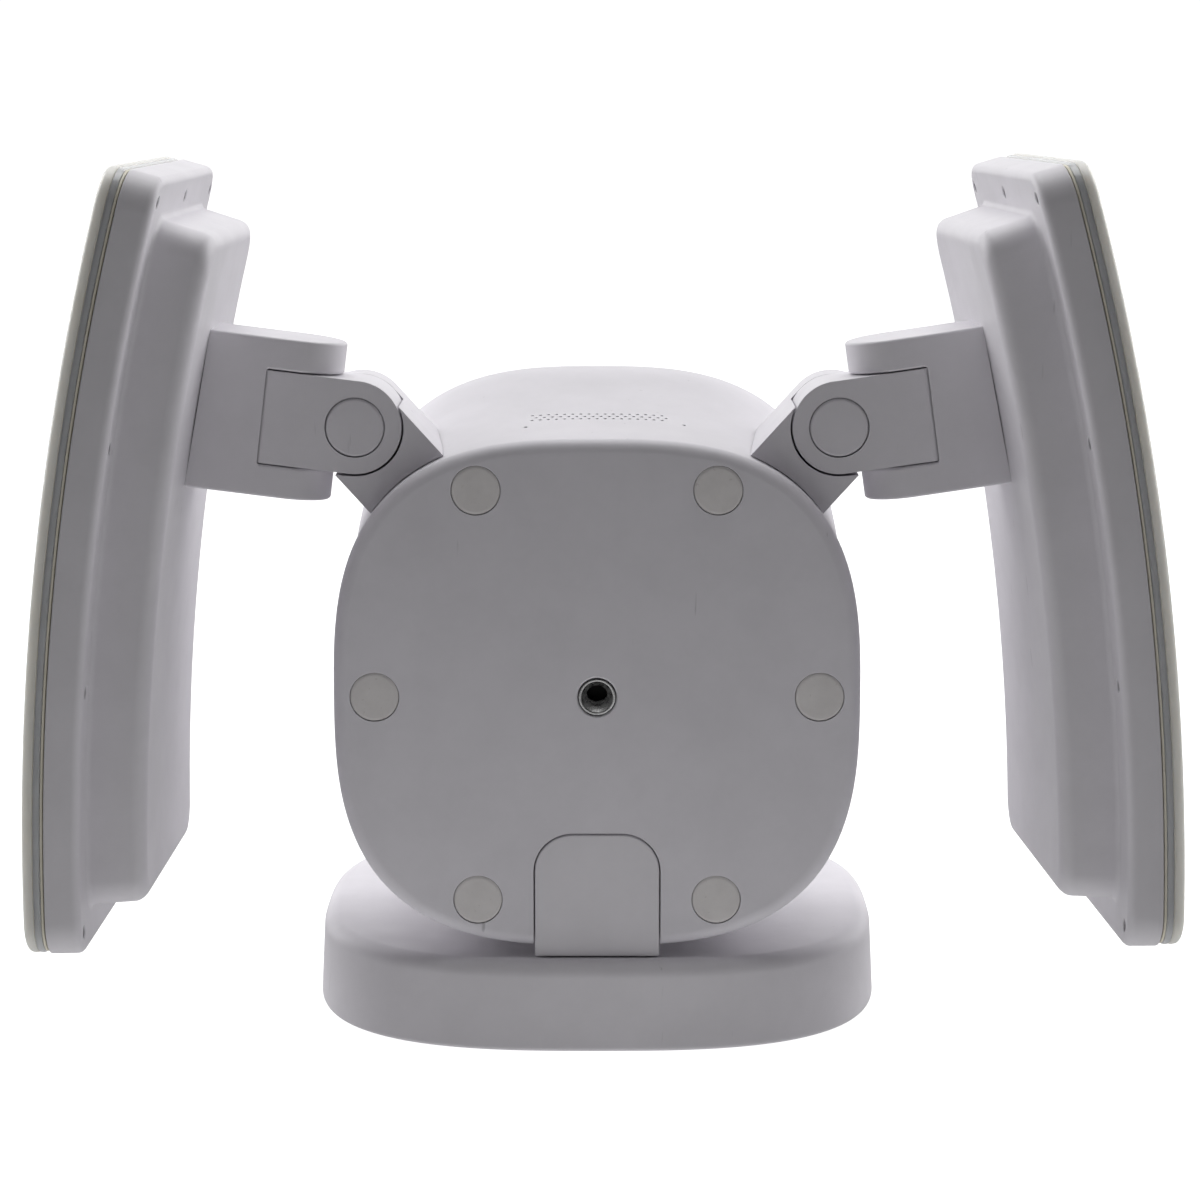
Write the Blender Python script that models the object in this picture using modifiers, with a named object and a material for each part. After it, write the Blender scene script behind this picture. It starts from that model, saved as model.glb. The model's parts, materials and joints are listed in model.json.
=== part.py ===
"""Floodlight security camera: two bowed light heads on knuckle arms, a squircle body on a wall plate,
and a pan and tilt camera head on the body's far side.

Frame: +Z up, away from the wall that the plate is screwed to. The origin is the middle of the mounting
bracket's back, on the wall. The body's flat cover faces -Y, and the camera head sits on the +Y side.
The pieces are laid out with Y measured from the cover's face, and moved to the origin at the end.
Built in metres.
"""
from math import asin, cos, degrees, pi, radians, sin, sqrt

import bmesh
import bpy
from mathutils import Matrix, Vector

MM = 0.001
GAP = 0.3 * MM

# Wall plate
PLATE_HALF = 70.0 * MM
PLATE_HEIGHT = 21.5 * MM
PLATE_Y = 64.0 * MM
PLATE_EXPONENT = 2.85
PLATE_WALL = 2.4 * MM
PLATE_TOP_RADIUS = 3.8 * MM
PLATE_DRAFT = 0.8 * MM
PLATE_SCREWS = [(-36 * MM, 104 * MM), (36 * MM, 104 * MM)]
PLATE_SCREW_RADIUS = 1.8 * MM

# Mounting bracket, and the way for the wires through it
BRACKET_HALF = 52.0 * MM
BRACKET_THICKNESS = 2.0 * MM
BRACKET_CORNER = 10.0 * MM
BRACKET_SLOT_X = 42.0 * MM
WIRE_Y = 27.0 * MM
WIRE_HOLE = 7.0 * MM
GASKET_WIDTH = 3.1 * MM
GASKET_HEIGHT = 2.2 * MM

# Body
BODY_Z = 84.7 * MM
BODY_HALF_X = 62.2 * MM
BODY_HALF_Z = 60.9 * MM
BODY_EXPONENT = 2.87
BODY_WALL = 2.4 * MM
COVER_THICKNESS = 4.0 * MM
COVER_RADIUS = 3.2 * MM
SHELL_FRONT = COVER_THICKNESS + GAP
SHELL_BACK = 70.0 * MM

# Neck between the plate and the body
NECK_HALF = 14.8 * MM
NECK_TOP = 51.5 * MM
NECK_CORNER = 9.0 * MM
NECK_DEPTH = 46.0 * MM
NECK_CAVITY_HALF = 8.0 * MM
NECK_CAVITY = (13.0 * MM, 39.0 * MM)

# Cover fittings: plug and screw places from the cover's middle
PLUG_RADIUS = 5.75 * MM
PLUG_PLACES = [(-28.3, 49.0), (28.3, 49.0), (-52.4, 0.0), (52.4, 0.0), (-28.3, -49.0), (28.3, -49.0)]
PLUG_DEPTH = 1.3 * MM
INSERT_RADIUS = 4.4 * MM
INSERT_BORE = 2.5 * MM
SEAL_INSET = 2.9
SEAL_WIDTH = 1.5
SEAL_FRONT = 4.4
SEAL_BACK = 6.4

# Boards inside the body
MAIN_BOARD = ((-36, 24, 66), (36, 25.6, 126))
POWER_BOARD = ((-34, 34, 68), (-2, 35.6, 124))
POWER_PARTS = [((-30, 35, 98), (-8, 47, 118)), ((-30, 35, 72), (-20, 46, 82)), ((-16, 35, 72), (-6, 46, 82))]
FRAME_Z = 98.0 * MM

# Arms: the knuckle's axis runs along Y, the swivel's along the light head's long side
KNUCKLE_X = 56.9 * MM
KNUCKLE_Z = 147.5 * MM
KNUCKLE_RADIUS = 11.0 * MM
ARM_FRONT = 8.0 * MM
ARM_MIDDLE = 19.0 * MM
TONGUE_BACK = 27.0 * MM
SOCKET_BACK = 38.0 * MM
SWIVEL_REACH = 15.5 * MM
YOKE_RADIUS = 11.0 * MM
YOKE_HALF = 18.8 * MM
POCKET_HALF = 11.3 * MM
POCKET_RADIUS = 12.5 * MM
PIN_RADIUS = 2.95 * MM
PIN_HOLE = PIN_RADIUS + GAP
REST = {"left": (7.0, 1.0), "right": (8.1, 2.7)}  # lean and swivel at rest, in degrees

# Light heads, in their own flat coordinates before the bow is put in
HEAD_BOW = 600.0 * MM
HEAD_BACK = 22.8 * MM
HEAD_RIM = 36.6 * MM
HEAD_FRONT = 44.8 * MM
LENS_FRONT = 50.1 * MM
HEAD_HALF_Y = 48.5 * MM
HEAD_HALF_L = 88.0 * MM
HEAD_MIDDLE = -35.8 * MM
HEAD_CORNER = 8.5 * MM
HEAD_WALL = 2.2 * MM
BUMP_INSET = 9.5 * MM
RIM_SCREW_LENGTHS = (-82.5 * MM, -27.5 * MM, 27.5 * MM, 82.5 * MM)
RIM_SCREW_Y = 43.6 * MM
RIM_SCREW_RADIUS = 1.5 * MM
LED_BOARD_THICKNESS = 1.4 * MM
FIN_COUNT = 6
FIN_PITCH = 11.0 * MM
SINK_HALF_Y = 34.0 * MM
SINK_RANGE = (-60.0 * MM, 46.0 * MM)

# Camera head
PAN_Z = 90.5 * MM
TURNTABLE_RADIUS = 42.0 * MM
BALL_RADIUS = 33.0 * MM
BALL_Y = 108.0 * MM
BALL_WALL = 2.2 * MM
BALL_FLAT = 23.0 * MM
BALL_STEPS = 28
WINDOW_RADIUS = 20.0 * MM
LENS_TILT = 45.0
COVER_SEAT = (66.8 * MM, 69.6 * MM)
TURNTABLE = (67.0 * MM, 73.5 * MM)
FORK_INNER = 33.9 * MM
FORK_OUTER = 38.6 * MM
FORK_RADIUS = 11.0 * MM
TILT_PIN_RADIUS = 3.7 * MM
GEAR_FACE = (60.0 * MM, 64.0 * MM)
GEAR_RADIUS = 26.0 * MM
PINION_RADIUS = 9.8 * MM
PINION_X = -32.4 * MM
PINION_Z = 106.5 * MM
BUTTON_Z = 143.5 * MM

SIDES = {"left": -1, "right": 1}


def clear_scene():
    for obj in list(bpy.data.objects):
        bpy.data.objects.remove(obj, do_unlink=True)


def new_collection(name):
    collection = bpy.data.collections.new(name)
    bpy.context.scene.collection.children.link(collection)
    return collection


clear_scene()
PARTS = new_collection("floodlight_security_camera")
CUTTERS = new_collection("cutters")


# ---------------------------------------------------------------- materials
MATERIALS = {}


def material(name):
    finishes = {
        "white_plastic": ((0.80, 0.79, 0.81), 0.45, 0.0),
        "dark_plastic": ((0.03, 0.03, 0.035), 0.35, 0.0),
        "silicone": ((0.74, 0.72, 0.69), 0.65, 0.0),
        "rubber": ((0.04, 0.04, 0.04), 0.8, 0.0),
        "steel": ((0.60, 0.60, 0.60), 0.3, 1.0),
        "brass": ((0.75, 0.58, 0.25), 0.3, 1.0),
        "aluminium": ((0.78, 0.78, 0.79), 0.4, 1.0),
        "circuit_board": ((0.03, 0.18, 0.07), 0.5, 0.0),
        "light_board": ((0.88, 0.88, 0.86), 0.5, 0.0),
        "diffuser": ((0.93, 0.91, 0.86), 0.25, 0.0),
        "glass": ((0.02, 0.02, 0.03), 0.05, 0.0),
    }
    if name not in MATERIALS:
        colour, roughness, metallic = finishes[name]
        made = bpy.data.materials.new(name)
        made.use_nodes = True
        shader = made.node_tree.nodes["Principled BSDF"]
        shader.inputs["Base Color"].default_value = (*colour, 1.0)
        shader.inputs["Roughness"].default_value = roughness
        shader.inputs["Metallic"].default_value = metallic
        MATERIALS[name] = made
    return MATERIALS[name]


# ---------------------------------------------------------------- building blocks
def add_object(name, mesh, finish=None, parent=None):
    """Put a mesh in the scene: a node with a finish, or a cutter without one."""
    obj = bpy.data.objects.new(name, mesh)
    if finish:
        PARTS.objects.link(obj)
        mesh.materials.append(material(finish))
        mesh.shade_smooth()
        mesh.set_sharp_from_angle(angle=radians(35))
    else:
        CUTTERS.objects.link(obj)
        obj.hide_render = True
        obj.display_type = "WIRE"
    obj.parent = parent
    return obj


def mesh_from_bmesh(name, bm):
    bmesh.ops.recalc_face_normals(bm, faces=bm.faces)
    mesh = bpy.data.meshes.new(name)
    bm.to_mesh(mesh)
    bm.free()
    return mesh


def box(name, low, high, finish=None, parent=None, bevel=0.0):
    """An axis-aligned box between two corners, in the parent's frame."""
    low, high = Vector(low), Vector(high)
    bm = bmesh.new()
    bmesh.ops.create_cube(bm, size=1.0)
    size = high - low
    middle = (high + low) / 2
    bmesh.ops.scale(bm, vec=size, verts=bm.verts)
    bmesh.ops.translate(bm, vec=middle, verts=bm.verts)
    obj = add_object(name, mesh_from_bmesh(name, bm), finish, parent)
    if bevel:
        add_bevel(obj, bevel)
    return obj


AXES = {"X": Matrix.Rotation(pi / 2, 4, "Y"), "Y": Matrix.Rotation(-pi / 2, 4, "X"), "Z": Matrix.Identity(4)}


def rod(name, axis, radius, start, end, place=(0, 0, 0), finish=None, parent=None, segments=32):
    """A cylinder along an axis from start to end; place gives its other two coordinates."""
    bm = bmesh.new()
    bmesh.ops.create_cone(
        bm, cap_ends=True, segments=segments, radius1=radius, radius2=radius, depth=end - start
    )
    bmesh.ops.transform(bm, matrix=AXES[axis], verts=bm.verts)
    middle = Vector(place)
    middle["XYZ".index(axis)] = (start + end) / 2
    bmesh.ops.translate(bm, vec=middle, verts=bm.verts)
    return add_object(name, mesh_from_bmesh(name, bm), finish, parent)


def turned(name, profile, finish=None, parent=None, steps=32, closed=False):
    """A profile of (radius, height) turned about Z; closed joins its ends, for a ring."""
    mesh = bpy.data.meshes.new(name)
    edges = [(i, i + 1) for i in range(len(profile) - 1)]
    if closed:
        edges.append((len(profile) - 1, 0))
    mesh.from_pydata([(radius, 0, height) for radius, height in profile], edges, [])
    obj = add_object(name, mesh, finish, parent)
    screw = obj.modifiers.new("turn", "SCREW")
    screw.steps = steps
    screw.render_steps = steps
    screw.use_merge_vertices = True
    screw.merge_threshold = 0.00001
    return obj


def prism(name, outline, axis, start, end, finish=None, parent=None, bevel=0.0):
    """An extruded outline. Its points are (y, z) along X, (x, z) along Y and (x, y) along Z."""
    def point(a, b, c):
        return {"X": (c, a, b), "Y": (a, c, b), "Z": (a, b, c)}[axis]

    bm = bmesh.new()
    lower = [bm.verts.new(point(a, b, start)) for a, b in outline]
    face = bm.faces.new(lower)
    extruded = bmesh.ops.extrude_face_region(bm, geom=[face])
    upper = [item for item in extruded["geom"] if isinstance(item, bmesh.types.BMVert)]
    move = Vector(point(0, 0, end)) - Vector(point(0, 0, start))
    bmesh.ops.translate(bm, vec=move, verts=upper)
    if bm.faces.get(lower) is None:
        bm.faces.new(lower)
    obj = add_object(name, mesh_from_bmesh(name, bm), finish, parent)
    if bevel:
        add_bevel(obj, bevel)
    return obj


def loft(name, rings, finish=None, parent=None, caps=True):
    """A skin over rings that have the same number of points, with flat ends."""
    bm = bmesh.new()
    made = [[bm.verts.new(point) for point in ring] for ring in rings]
    count = len(made[0])
    for ring, following in zip(made, made[1:]):
        for i in range(count):
            j = (i + 1) % count
            bm.faces.new((ring[i], ring[j], following[j], following[i]))
    if caps:
        bm.faces.new(made[0])
        bm.faces.new(made[-1])
    return add_object(name, mesh_from_bmesh(name, bm), finish, parent)


def add_bevel(obj, width, segments=2, angle=40):
    bevel = obj.modifiers.new("round_edges", "BEVEL")
    bevel.width = width
    bevel.segments = segments
    bevel.limit_method = "ANGLE"
    bevel.angle_limit = radians(angle)
    bevel.use_clamp_overlap = True


def boolean(obj, other, operation="DIFFERENCE"):
    modifier = obj.modifiers.new(operation.lower(), "BOOLEAN")
    modifier.operation = operation
    modifier.solver = "EXACT"
    modifier.object = other
    return obj


def empty(name, location, rotation=(0, 0, 0), parent=None):
    obj = bpy.data.objects.new(name, None)
    PARTS.objects.link(obj)
    obj.empty_display_size = 0.02
    obj.parent = parent
    obj.location = location
    obj.rotation_euler = rotation
    return obj


def squircle(half_x, half_z, exponent, count=48):
    """Points of a superellipse about its middle."""
    points = []
    for i in range(count):
        angle = 2 * pi * i / count
        c, s = cos(angle), sin(angle)
        x = half_x * abs(c) ** (2 / exponent) * (1 if c >= 0 else -1)
        z = half_z * abs(s) ** (2 / exponent) * (1 if s >= 0 else -1)
        points.append((x, z))
    return points


def arc(centre, radius, start, end, steps):
    """Points on an arc, with angles in degrees."""
    points = []
    for i in range(steps + 1):
        angle = radians(start + (end - start) * i / steps)
        points.append((centre[0] + radius * cos(angle), centre[1] + radius * sin(angle)))
    return points


def quarter_round(radius, steps):
    """(inset, height) pairs of a quarter round that starts on the side wall and ends on the flat."""
    return [
        (radius * (1 - cos(pi / 2 * i / steps)), radius * sin(pi / 2 * i / steps)) for i in range(steps + 1)
    ]


# ---------------------------------------------------------------- wall plate
def plate_ring(inset, height):
    half = PLATE_HALF - inset
    return [(x, PLATE_Y + y, height) for x, y in squircle(half, half, PLATE_EXPONENT)]


def build_plate():
    wall = PLATE_WALL
    rings = [plate_ring(wall + 0.5 * PLATE_DRAFT, PLATE_HEIGHT - wall)]
    rings.append(plate_ring(wall, 0))
    rings.append(plate_ring(0.8 * MM, 0))
    rings.append(plate_ring(0, 0.8 * MM))
    shoulder = PLATE_HEIGHT - PLATE_TOP_RADIUS
    for inset, rise in quarter_round(PLATE_TOP_RADIUS, 3):
        rings.append(plate_ring(PLATE_DRAFT + inset, shoulder + rise))
    plate = loft("wall_plate", rings, "white_plastic")
    boolean(plate, rod("wire_way", "Z", WIRE_HOLE, 10 * MM, 30 * MM, (0, WIRE_Y, 0), segments=24))
    for i, (x, y) in enumerate(PLATE_SCREWS):
        hole = PLATE_SCREW_RADIUS + 2 * GAP
        boolean(plate, rod(f"plate_screw_way_{i}", "Z", hole, 10 * MM, 30 * MM, (x, y, 0), segments=12))


def build_bracket():
    flat = BRACKET_HALF - BRACKET_CORNER
    outline = []
    for cx, cy, start in ((1, 1, 0), (-1, 1, 90), (-1, -1, 180), (1, -1, 270)):
        outline += arc((cx * flat, PLATE_Y + cy * flat), BRACKET_CORNER, start, start + 90, 5)
    bracket = prism("mounting_bracket", outline, "Z", 0.0, BRACKET_THICKNESS, "steel")
    through = (-5 * MM, 5 * MM)
    boolean(bracket, rod("bracket_wire_way", "Z", 11 * MM, *through, (0, WIRE_Y, 0)))
    for x in (-BRACKET_SLOT_X, BRACKET_SLOT_X):
        low = (x - 2.4 * MM, PLATE_Y - 14 * MM, through[0])
        high = (x + 2.4 * MM, PLATE_Y + 14 * MM, through[1])
        boolean(bracket, box(f"bracket_slot_{x:.3f}", low, high))
    for i, (x, y) in enumerate(PLATE_SCREWS):
        hole = PLATE_SCREW_RADIUS + GAP
        boolean(bracket, rod(f"bracket_screw_way_{i}", "Z", hole, *through, (x, y, 0), segments=12))

    outer = PLATE_WALL + GAP
    inner = outer + GASKET_WIDTH
    corners = [(outer, 0.0), (outer, GASKET_HEIGHT), (inner, GASKET_HEIGHT), (inner, 0.0)]
    ring_solid("wall_gasket", [plate_ring(inset, height) for inset, height in corners], "rubber")

    grommet = [(6.0, 5.4), (8.6, 5.4), (14.0, 3.6), (14.0, 2.3), (10.7, 2.3), (10.7, 0.2), (6.0, 0.2)]
    ring = turned("wire_grommet", [(r * MM, z * MM) for r, z in grommet], "rubber", steps=24, closed=True)
    ring.location = (0, WIRE_Y, 0)


def ring_solid(name, rings, finish, parent=None):
    """A closed band: the last ring joins back to the first."""
    obj = loft(name, rings + rings[:1], finish, parent, caps=False)
    bm = bmesh.new()
    bm.from_mesh(obj.data)
    bmesh.ops.remove_doubles(bm, verts=bm.verts, dist=0.000001)
    bmesh.ops.recalc_face_normals(bm, faces=bm.faces)
    bm.to_mesh(obj.data)
    bm.free()
    return obj


def pan_head_screw(name, head_radius, head_height, shank_radius, length):
    """A screw that stands on its tip, with the top of its head at its origin."""
    profile = [
        (0, 0), (head_radius * 0.8, 0), (head_radius, -head_height * 0.35), (head_radius, -head_height),
        (shank_radius, -head_height), (shank_radius, -length), (0, -length),
    ]
    return turned(name, profile, "steel", steps=16)


# ---------------------------------------------------------------- neck
def neck_outline(grow=0.0, bottom=PLATE_HEIGHT + GAP):
    half = NECK_HALF + grow
    top = NECK_TOP + grow
    corner = NECK_CORNER + grow
    right = arc((half - corner, top - corner), corner, 0, 90, 6)
    left = arc((-half + corner, top - corner), corner, 90, 180, 6)
    return [(half, bottom)] + right + left + [(-half, bottom)]


def build_neck():
    neck = prism("neck_arm", neck_outline(), "Y", 0.0, NECK_DEPTH, "white_plastic")
    low = (-NECK_CAVITY_HALF, NECK_CAVITY[0], 15 * MM)
    high = (NECK_CAVITY_HALF, NECK_CAVITY[1], 60 * MM)
    boolean(neck, box("neck_cavity", low, high))
    head_height = 2.2 * MM
    for i, (x, y) in enumerate(PLATE_SCREWS):
        screw = pan_head_screw(f"plate_screw_{i + 1}", 3.6 * MM, head_height, PLATE_SCREW_RADIUS, 23.4 * MM)
        screw.location = (x, y, PLATE_HEIGHT + GAP + head_height)


# ---------------------------------------------------------------- body
# Each section: distance from the cover, half width, lowest and highest z, all in millimetres
SECTIONS = [
    (4.3, 61.9, 24.1, 145.2), (18, 61.6, 24.1, 146.7), (32, 61.4, 24.1, 149.0), (46, 61.4, 24.1, 152.2),
    (57, 61.5, 24.1, 155.6), (63, 61.5, 24.2, 157.0), (67.0, 61.0, 24.8, 156.8), (70.0, 58.3, 27.6, 153.9),
]


def body_ring(section, grow=0.0):
    y, half_x, low, high = (value * MM for value in section)
    middle = (low + high) / 2
    half_z = (high - low) / 2
    outline = squircle(half_x + grow, half_z + grow, BODY_EXPONENT)
    return [(x, y, middle + z) for x, z in outline]


def build_body():
    shell = loft("body_shell", [body_ring(section) for section in SECTIONS], "white_plastic", caps=False)
    solid = shell.modifiers.new("wall", "SOLIDIFY")
    solid.thickness = BODY_WALL
    solid.offset = -1
    solid.use_even_offset = True
    boolean(shell, prism("neck_way", neck_outline(GAP, 10 * MM), "Y", -5 * MM, NECK_DEPTH + GAP))


def cover_ring(inset, y):
    outline = squircle(BODY_HALF_X - inset, BODY_HALF_Z - inset, BODY_EXPONENT)
    return [(x, y, BODY_Z + z) for x, z in outline]


def build_cover():
    edge = reversed(quarter_round(COVER_RADIUS, 3))
    rings = [cover_ring(inset, COVER_RADIUS - depth) for inset, depth in edge]
    rings.append(cover_ring(0.0, COVER_THICKNESS))
    cover = loft("body_cover", rings, "white_plastic")
    boolean(cover, prism("cover_notch", neck_outline(GAP, 10 * MM), "Y", -5 * MM, 10 * MM))
    plug_places = [(x * MM, 0, BODY_Z + z * MM) for x, z in PLUG_PLACES]
    for i, place in enumerate(plug_places):
        seat = rod(f"plug_seat_{i}", "Y", PLUG_RADIUS + 0.25 * MM, -5 * MM, PLUG_DEPTH, place, segments=28)
        boolean(cover, seat)
    middle = (0, 0, BODY_Z)
    boolean(cover, rod("insert_seat", "Y", INSERT_RADIUS + 0.2 * MM, -5 * MM, 9 * MM, middle, segments=28))

    edge = 0.2 * MM
    height = 1.0 * MM
    plug_profile = [(0, 0), (PLUG_RADIUS - edge, 0), (PLUG_RADIUS, -edge), (PLUG_RADIUS, -height), (0, -height)]
    for i, (x, _, z) in enumerate(plug_places):
        plug = turned(f"screw_plug_{i + 1}", plug_profile, "silicone", steps=28)
        plug.rotation_euler = (pi / 2, 0, 0)
        plug.location = (x, 0.05 * MM, z)

    flange = INSERT_RADIUS + 1.2 * MM
    insert_profile = [
        (INSERT_BORE, 0.1 * MM), (3.6 * MM, 0.1 * MM), (INSERT_RADIUS, -0.5 * MM), (INSERT_RADIUS, -3.9 * MM),
        (flange, -4.5 * MM), (flange, -12.0 * MM), (INSERT_BORE, -12.0 * MM),
    ]
    insert = turned("threaded_insert", insert_profile, "steel", steps=28, closed=True)
    insert.rotation_euler = (pi / 2, 0, 0)
    insert.location = (0, 0.2 * MM, BODY_Z)

    _, half_x, low, high = SECTIONS[0]
    rings = []
    corners = [(0, SEAL_FRONT), (0, SEAL_BACK), (SEAL_WIDTH, SEAL_BACK), (SEAL_WIDTH, SEAL_FRONT)]
    for width, y in corners:
        inset = SEAL_INSET + width
        rings.append(body_ring((y, half_x - inset, low + inset, high - inset)))
    gasket = ring_solid("cover_gasket", rings, "rubber")
    boolean(gasket, prism("gasket_notch", neck_outline(2 * GAP, 10 * MM), "Y", -5 * MM, 10 * MM))


def scaled_box(name, corners, finish=None):
    """A box from two corners in millimetres."""
    low, high = corners
    return box(name, [value * MM for value in low], [value * MM for value in high], finish)


def build_electronics():
    """Boards and sounders on the frame inside the body."""
    outline = squircle(50 * MM, 43 * MM, BODY_EXPONENT, 32)
    frame = prism("inner_frame", outline, "Y", 49.0 * MM, 51.5 * MM, "dark_plastic")
    frame.location = (0, 0, FRAME_Z)
    boolean(frame, rod("frame_wire_way", "Y", 9 * MM, 40 * MM, 60 * MM, (22 * MM, 0, 72 * MM), segments=20))
    scaled_box("main_board", MAIN_BOARD, "circuit_board")
    power = scaled_box("power_board", POWER_BOARD, "circuit_board")
    for i, corners in enumerate(POWER_PARTS):
        boolean(power, scaled_box(f"power_part_{i}", corners), "UNION")
    speaker_place = (0, 26 * MM, 0)
    rod("siren_speaker", "Z", 13 * MM, 127.2 * MM, 138.5 * MM, speaker_place, "dark_plastic", segments=28)


# ---------------------------------------------------------------- camera head
def build_camera():
    opening = body_ring((66.8, 58.0, 27.6, 153.9), -2.9 * MM)
    middle = (0, 0, PAN_Z)
    ring = prism("far_cover", [(x, z) for x, _, z in opening], "Y", *COVER_SEAT, "white_plastic")
    way = TURNTABLE_RADIUS + 0.4 * MM
    boolean(ring, rod("turntable_way", "Y", way, 60 * MM, 80 * MM, middle, segments=48))
    boolean(ring, rod("button_way", "Y", 3.4 * MM, 60 * MM, 80 * MM, (0, 0, BUTTON_Z), segments=20))
    button_profile = [(0, 0), (2.6, 0), (3.1, -0.5), (3.1, -4.2), (4.4, -4.2), (4.4, -5.4), (0, -5.4)]
    button = turned("setup_button", [(r * MM, z * MM) for r, z in button_profile], "silicone", steps=20)
    button.rotation_euler = (-pi / 2, 0, 0)
    button.location = (0, 70.6 * MM, BUTTON_Z)

    pan = empty("pan_axis", middle)
    build_turntable(pan)
    bearing = [(12.4, 3.4), (19.5, 3.4), (19.5, 0), (12.4, 0)]
    race = turned("pan_bearing", [(r * MM, z * MM) for r, z in bearing], "steel", steps=32, closed=True)
    race.rotation_euler = (-pi / 2, 0, 0)
    race.location = (0, 56.2 * MM, PAN_Z)
    rod("pan_motor", "Y", 9 * MM, 51.9 * MM, 58.4 * MM, (PINION_X, 0, PINION_Z), "steel", segments=28)
    pinion = empty("pinion_axis", (PINION_X, 0, PINION_Z))
    rod("pan_pinion", "Y", PINION_RADIUS, *GEAR_FACE, (0, 0, 0), "brass", pinion, 20)

    tilt = empty("tilt_axis", (0, BALL_Y, 0), (radians(-LENS_TILT), 0, 0), pan)
    build_camera_shells(tilt)
    build_camera_inside(tilt)


def build_turntable(pan):
    """The disc that turns in the far cover, its hub, the fork that holds the ball, and its gear."""
    centre = (0, 0, 0)
    disc = rod("pan_turntable", "Y", TURNTABLE_RADIUS, *TURNTABLE, centre, "white_plastic", pan, 48)
    boolean(disc, rod("turntable_hub", "Y", 12 * MM, 56.6 * MM, 68 * MM, centre, None, pan), "UNION")
    root = 70 * MM
    root_half = 13 * MM
    ear = arc((BALL_Y, 0), FORK_RADIUS, -90, 90, 10) + [(root, root_half), (root, -root_half)]
    for side, out in SIDES.items():
        low, high = sorted((out * FORK_INNER, out * FORK_OUTER))
        boolean(disc, prism(f"fork_arm_{side}", ear, "X", low, high, None, pan), "UNION")
    pin_hole = TILT_PIN_RADIUS + GAP
    boolean(disc, rod("tilt_pin_way", "X", pin_hole, -50 * MM, 50 * MM, (0, BALL_Y, 0), None, pan, 20))
    boolean(disc, rod("pan_wire_way", "Y", 5 * MM, 50 * MM, 80 * MM, centre, None, pan, 20))
    gear = rod("pan_gear", "Y", GEAR_RADIUS, *GEAR_FACE, centre, "dark_plastic", pan, 40)
    boolean(gear, rod("pan_gear_bore", "Y", 12.3 * MM, 55 * MM, 70 * MM, centre, None, pan))


def ball_arc(radius, start, end, step=13):
    """(radius, height) points on a ball, with angles in degrees down from its pole."""
    count = round(abs(end - start) / step)
    angles = [radians(start + (end - start) * i / count) for i in range(count + 1)]
    return [(radius * sin(a), radius * cos(a)) for a in angles]


def build_camera_shells(tilt):
    """The ball looks along its own +Z: a rear shell, and a front shell cut flat for the window."""
    outer = BALL_RADIUS
    inner = outer - BALL_WALL
    rear_profile = [(0, -inner)] + ball_arc(inner, 168, 90) + ball_arc(outer, 90, 168) + [(0, -outer)]
    rear = turned("camera_rear_shell", rear_profile, "white_plastic", tilt, BALL_STEPS)
    seam = 0.4 * MM
    rim = sqrt(outer ** 2 - BALL_FLAT ** 2)
    front_profile = [(WINDOW_RADIUS, BALL_FLAT - 2.4 * MM), (WINDOW_RADIUS, BALL_FLAT), (rim, BALL_FLAT)]
    front_profile += ball_arc(outer, 54, 81) + [(outer, seam), (inner, seam)] + ball_arc(inner, 81, 63)
    front = turned("camera_front_shell", front_profile, "white_plastic", tilt, BALL_STEPS, closed=True)
    pin_hole = TILT_PIN_RADIUS + GAP
    for shell in (rear, front):
        way = rod(f"pin_way_{shell.name}", "X", pin_hole, -50 * MM, 50 * MM, (0, 0, 0), None, tilt, 20)
        boolean(shell, way)


def build_camera_inside(tilt):
    """The window, the lens, the boards behind it, and the motor and pins that tilt the ball."""
    glass = [(0, 22.8), (17.6, 22.8), (19.7, 21.6), (19.7, 20.6), (0, 20.6)]
    turned("lens_window", [(r * MM, z * MM) for r, z in glass], "glass", tilt, 36)
    barrel = [(0, 16), (5.0, 16), (6.2, 19.9), (8.5, 19.9), (8.5, 9), (0, 9)]
    turned("lens_barrel", [(r * MM, z * MM) for r, z in barrel], "dark_plastic", tilt, 28)
    box("sensor_board", (-13 * MM, -11 * MM, 6.6 * MM), (13 * MM, 11 * MM, 8.2 * MM), "circuit_board", tilt)
    profile = [(9.2, 16.0), (16.6, 16.0), (16.6, 14.8), (9.2, 14.8)]
    profile = [(r * MM, z * MM) for r, z in profile]
    board = turned("infrared_board", profile, "circuit_board", tilt, 28, closed=True)
    led_circle = 13.2 * MM
    led_count = 8
    for i in range(led_count):
        angle = 2 * pi * (i + 0.5) / led_count
        place = (led_circle * cos(angle), led_circle * sin(angle), 0)
        led = rod(f"infrared_led_{i}", "Z", 1.8 * MM, 15.4 * MM, 18.6 * MM, place, None, tilt, 8)
        boolean(board, led, "UNION")
    box("tilt_motor", (-9 * MM, -9 * MM, -16 * MM), (9 * MM, 9 * MM, -5.5 * MM), "steel", tilt, 1 * MM)
    for side, out in SIDES.items():
        low, high = sorted((out * 27.5 * MM, out * 40.2 * MM))
        rod(f"tilt_pin_{side}", "X", TILT_PIN_RADIUS, low, high, (0, 0, 0), "dark_plastic", tilt, 20)


# ---------------------------------------------------------------- arms
def block_frame(out):
    """Frame at a knuckle whose +X points at the middle of the body."""
    knuckle = Vector((out * KNUCKLE_X, 0, KNUCKLE_Z))
    inward = Vector((0, 0, BODY_Z)) - knuckle
    inward.normalize()
    far_way = Vector((0, 1, 0))
    matrix = Matrix((inward, far_way, inward.cross(far_way))).transposed().to_4x4()
    matrix.translation = knuckle
    return matrix


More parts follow.
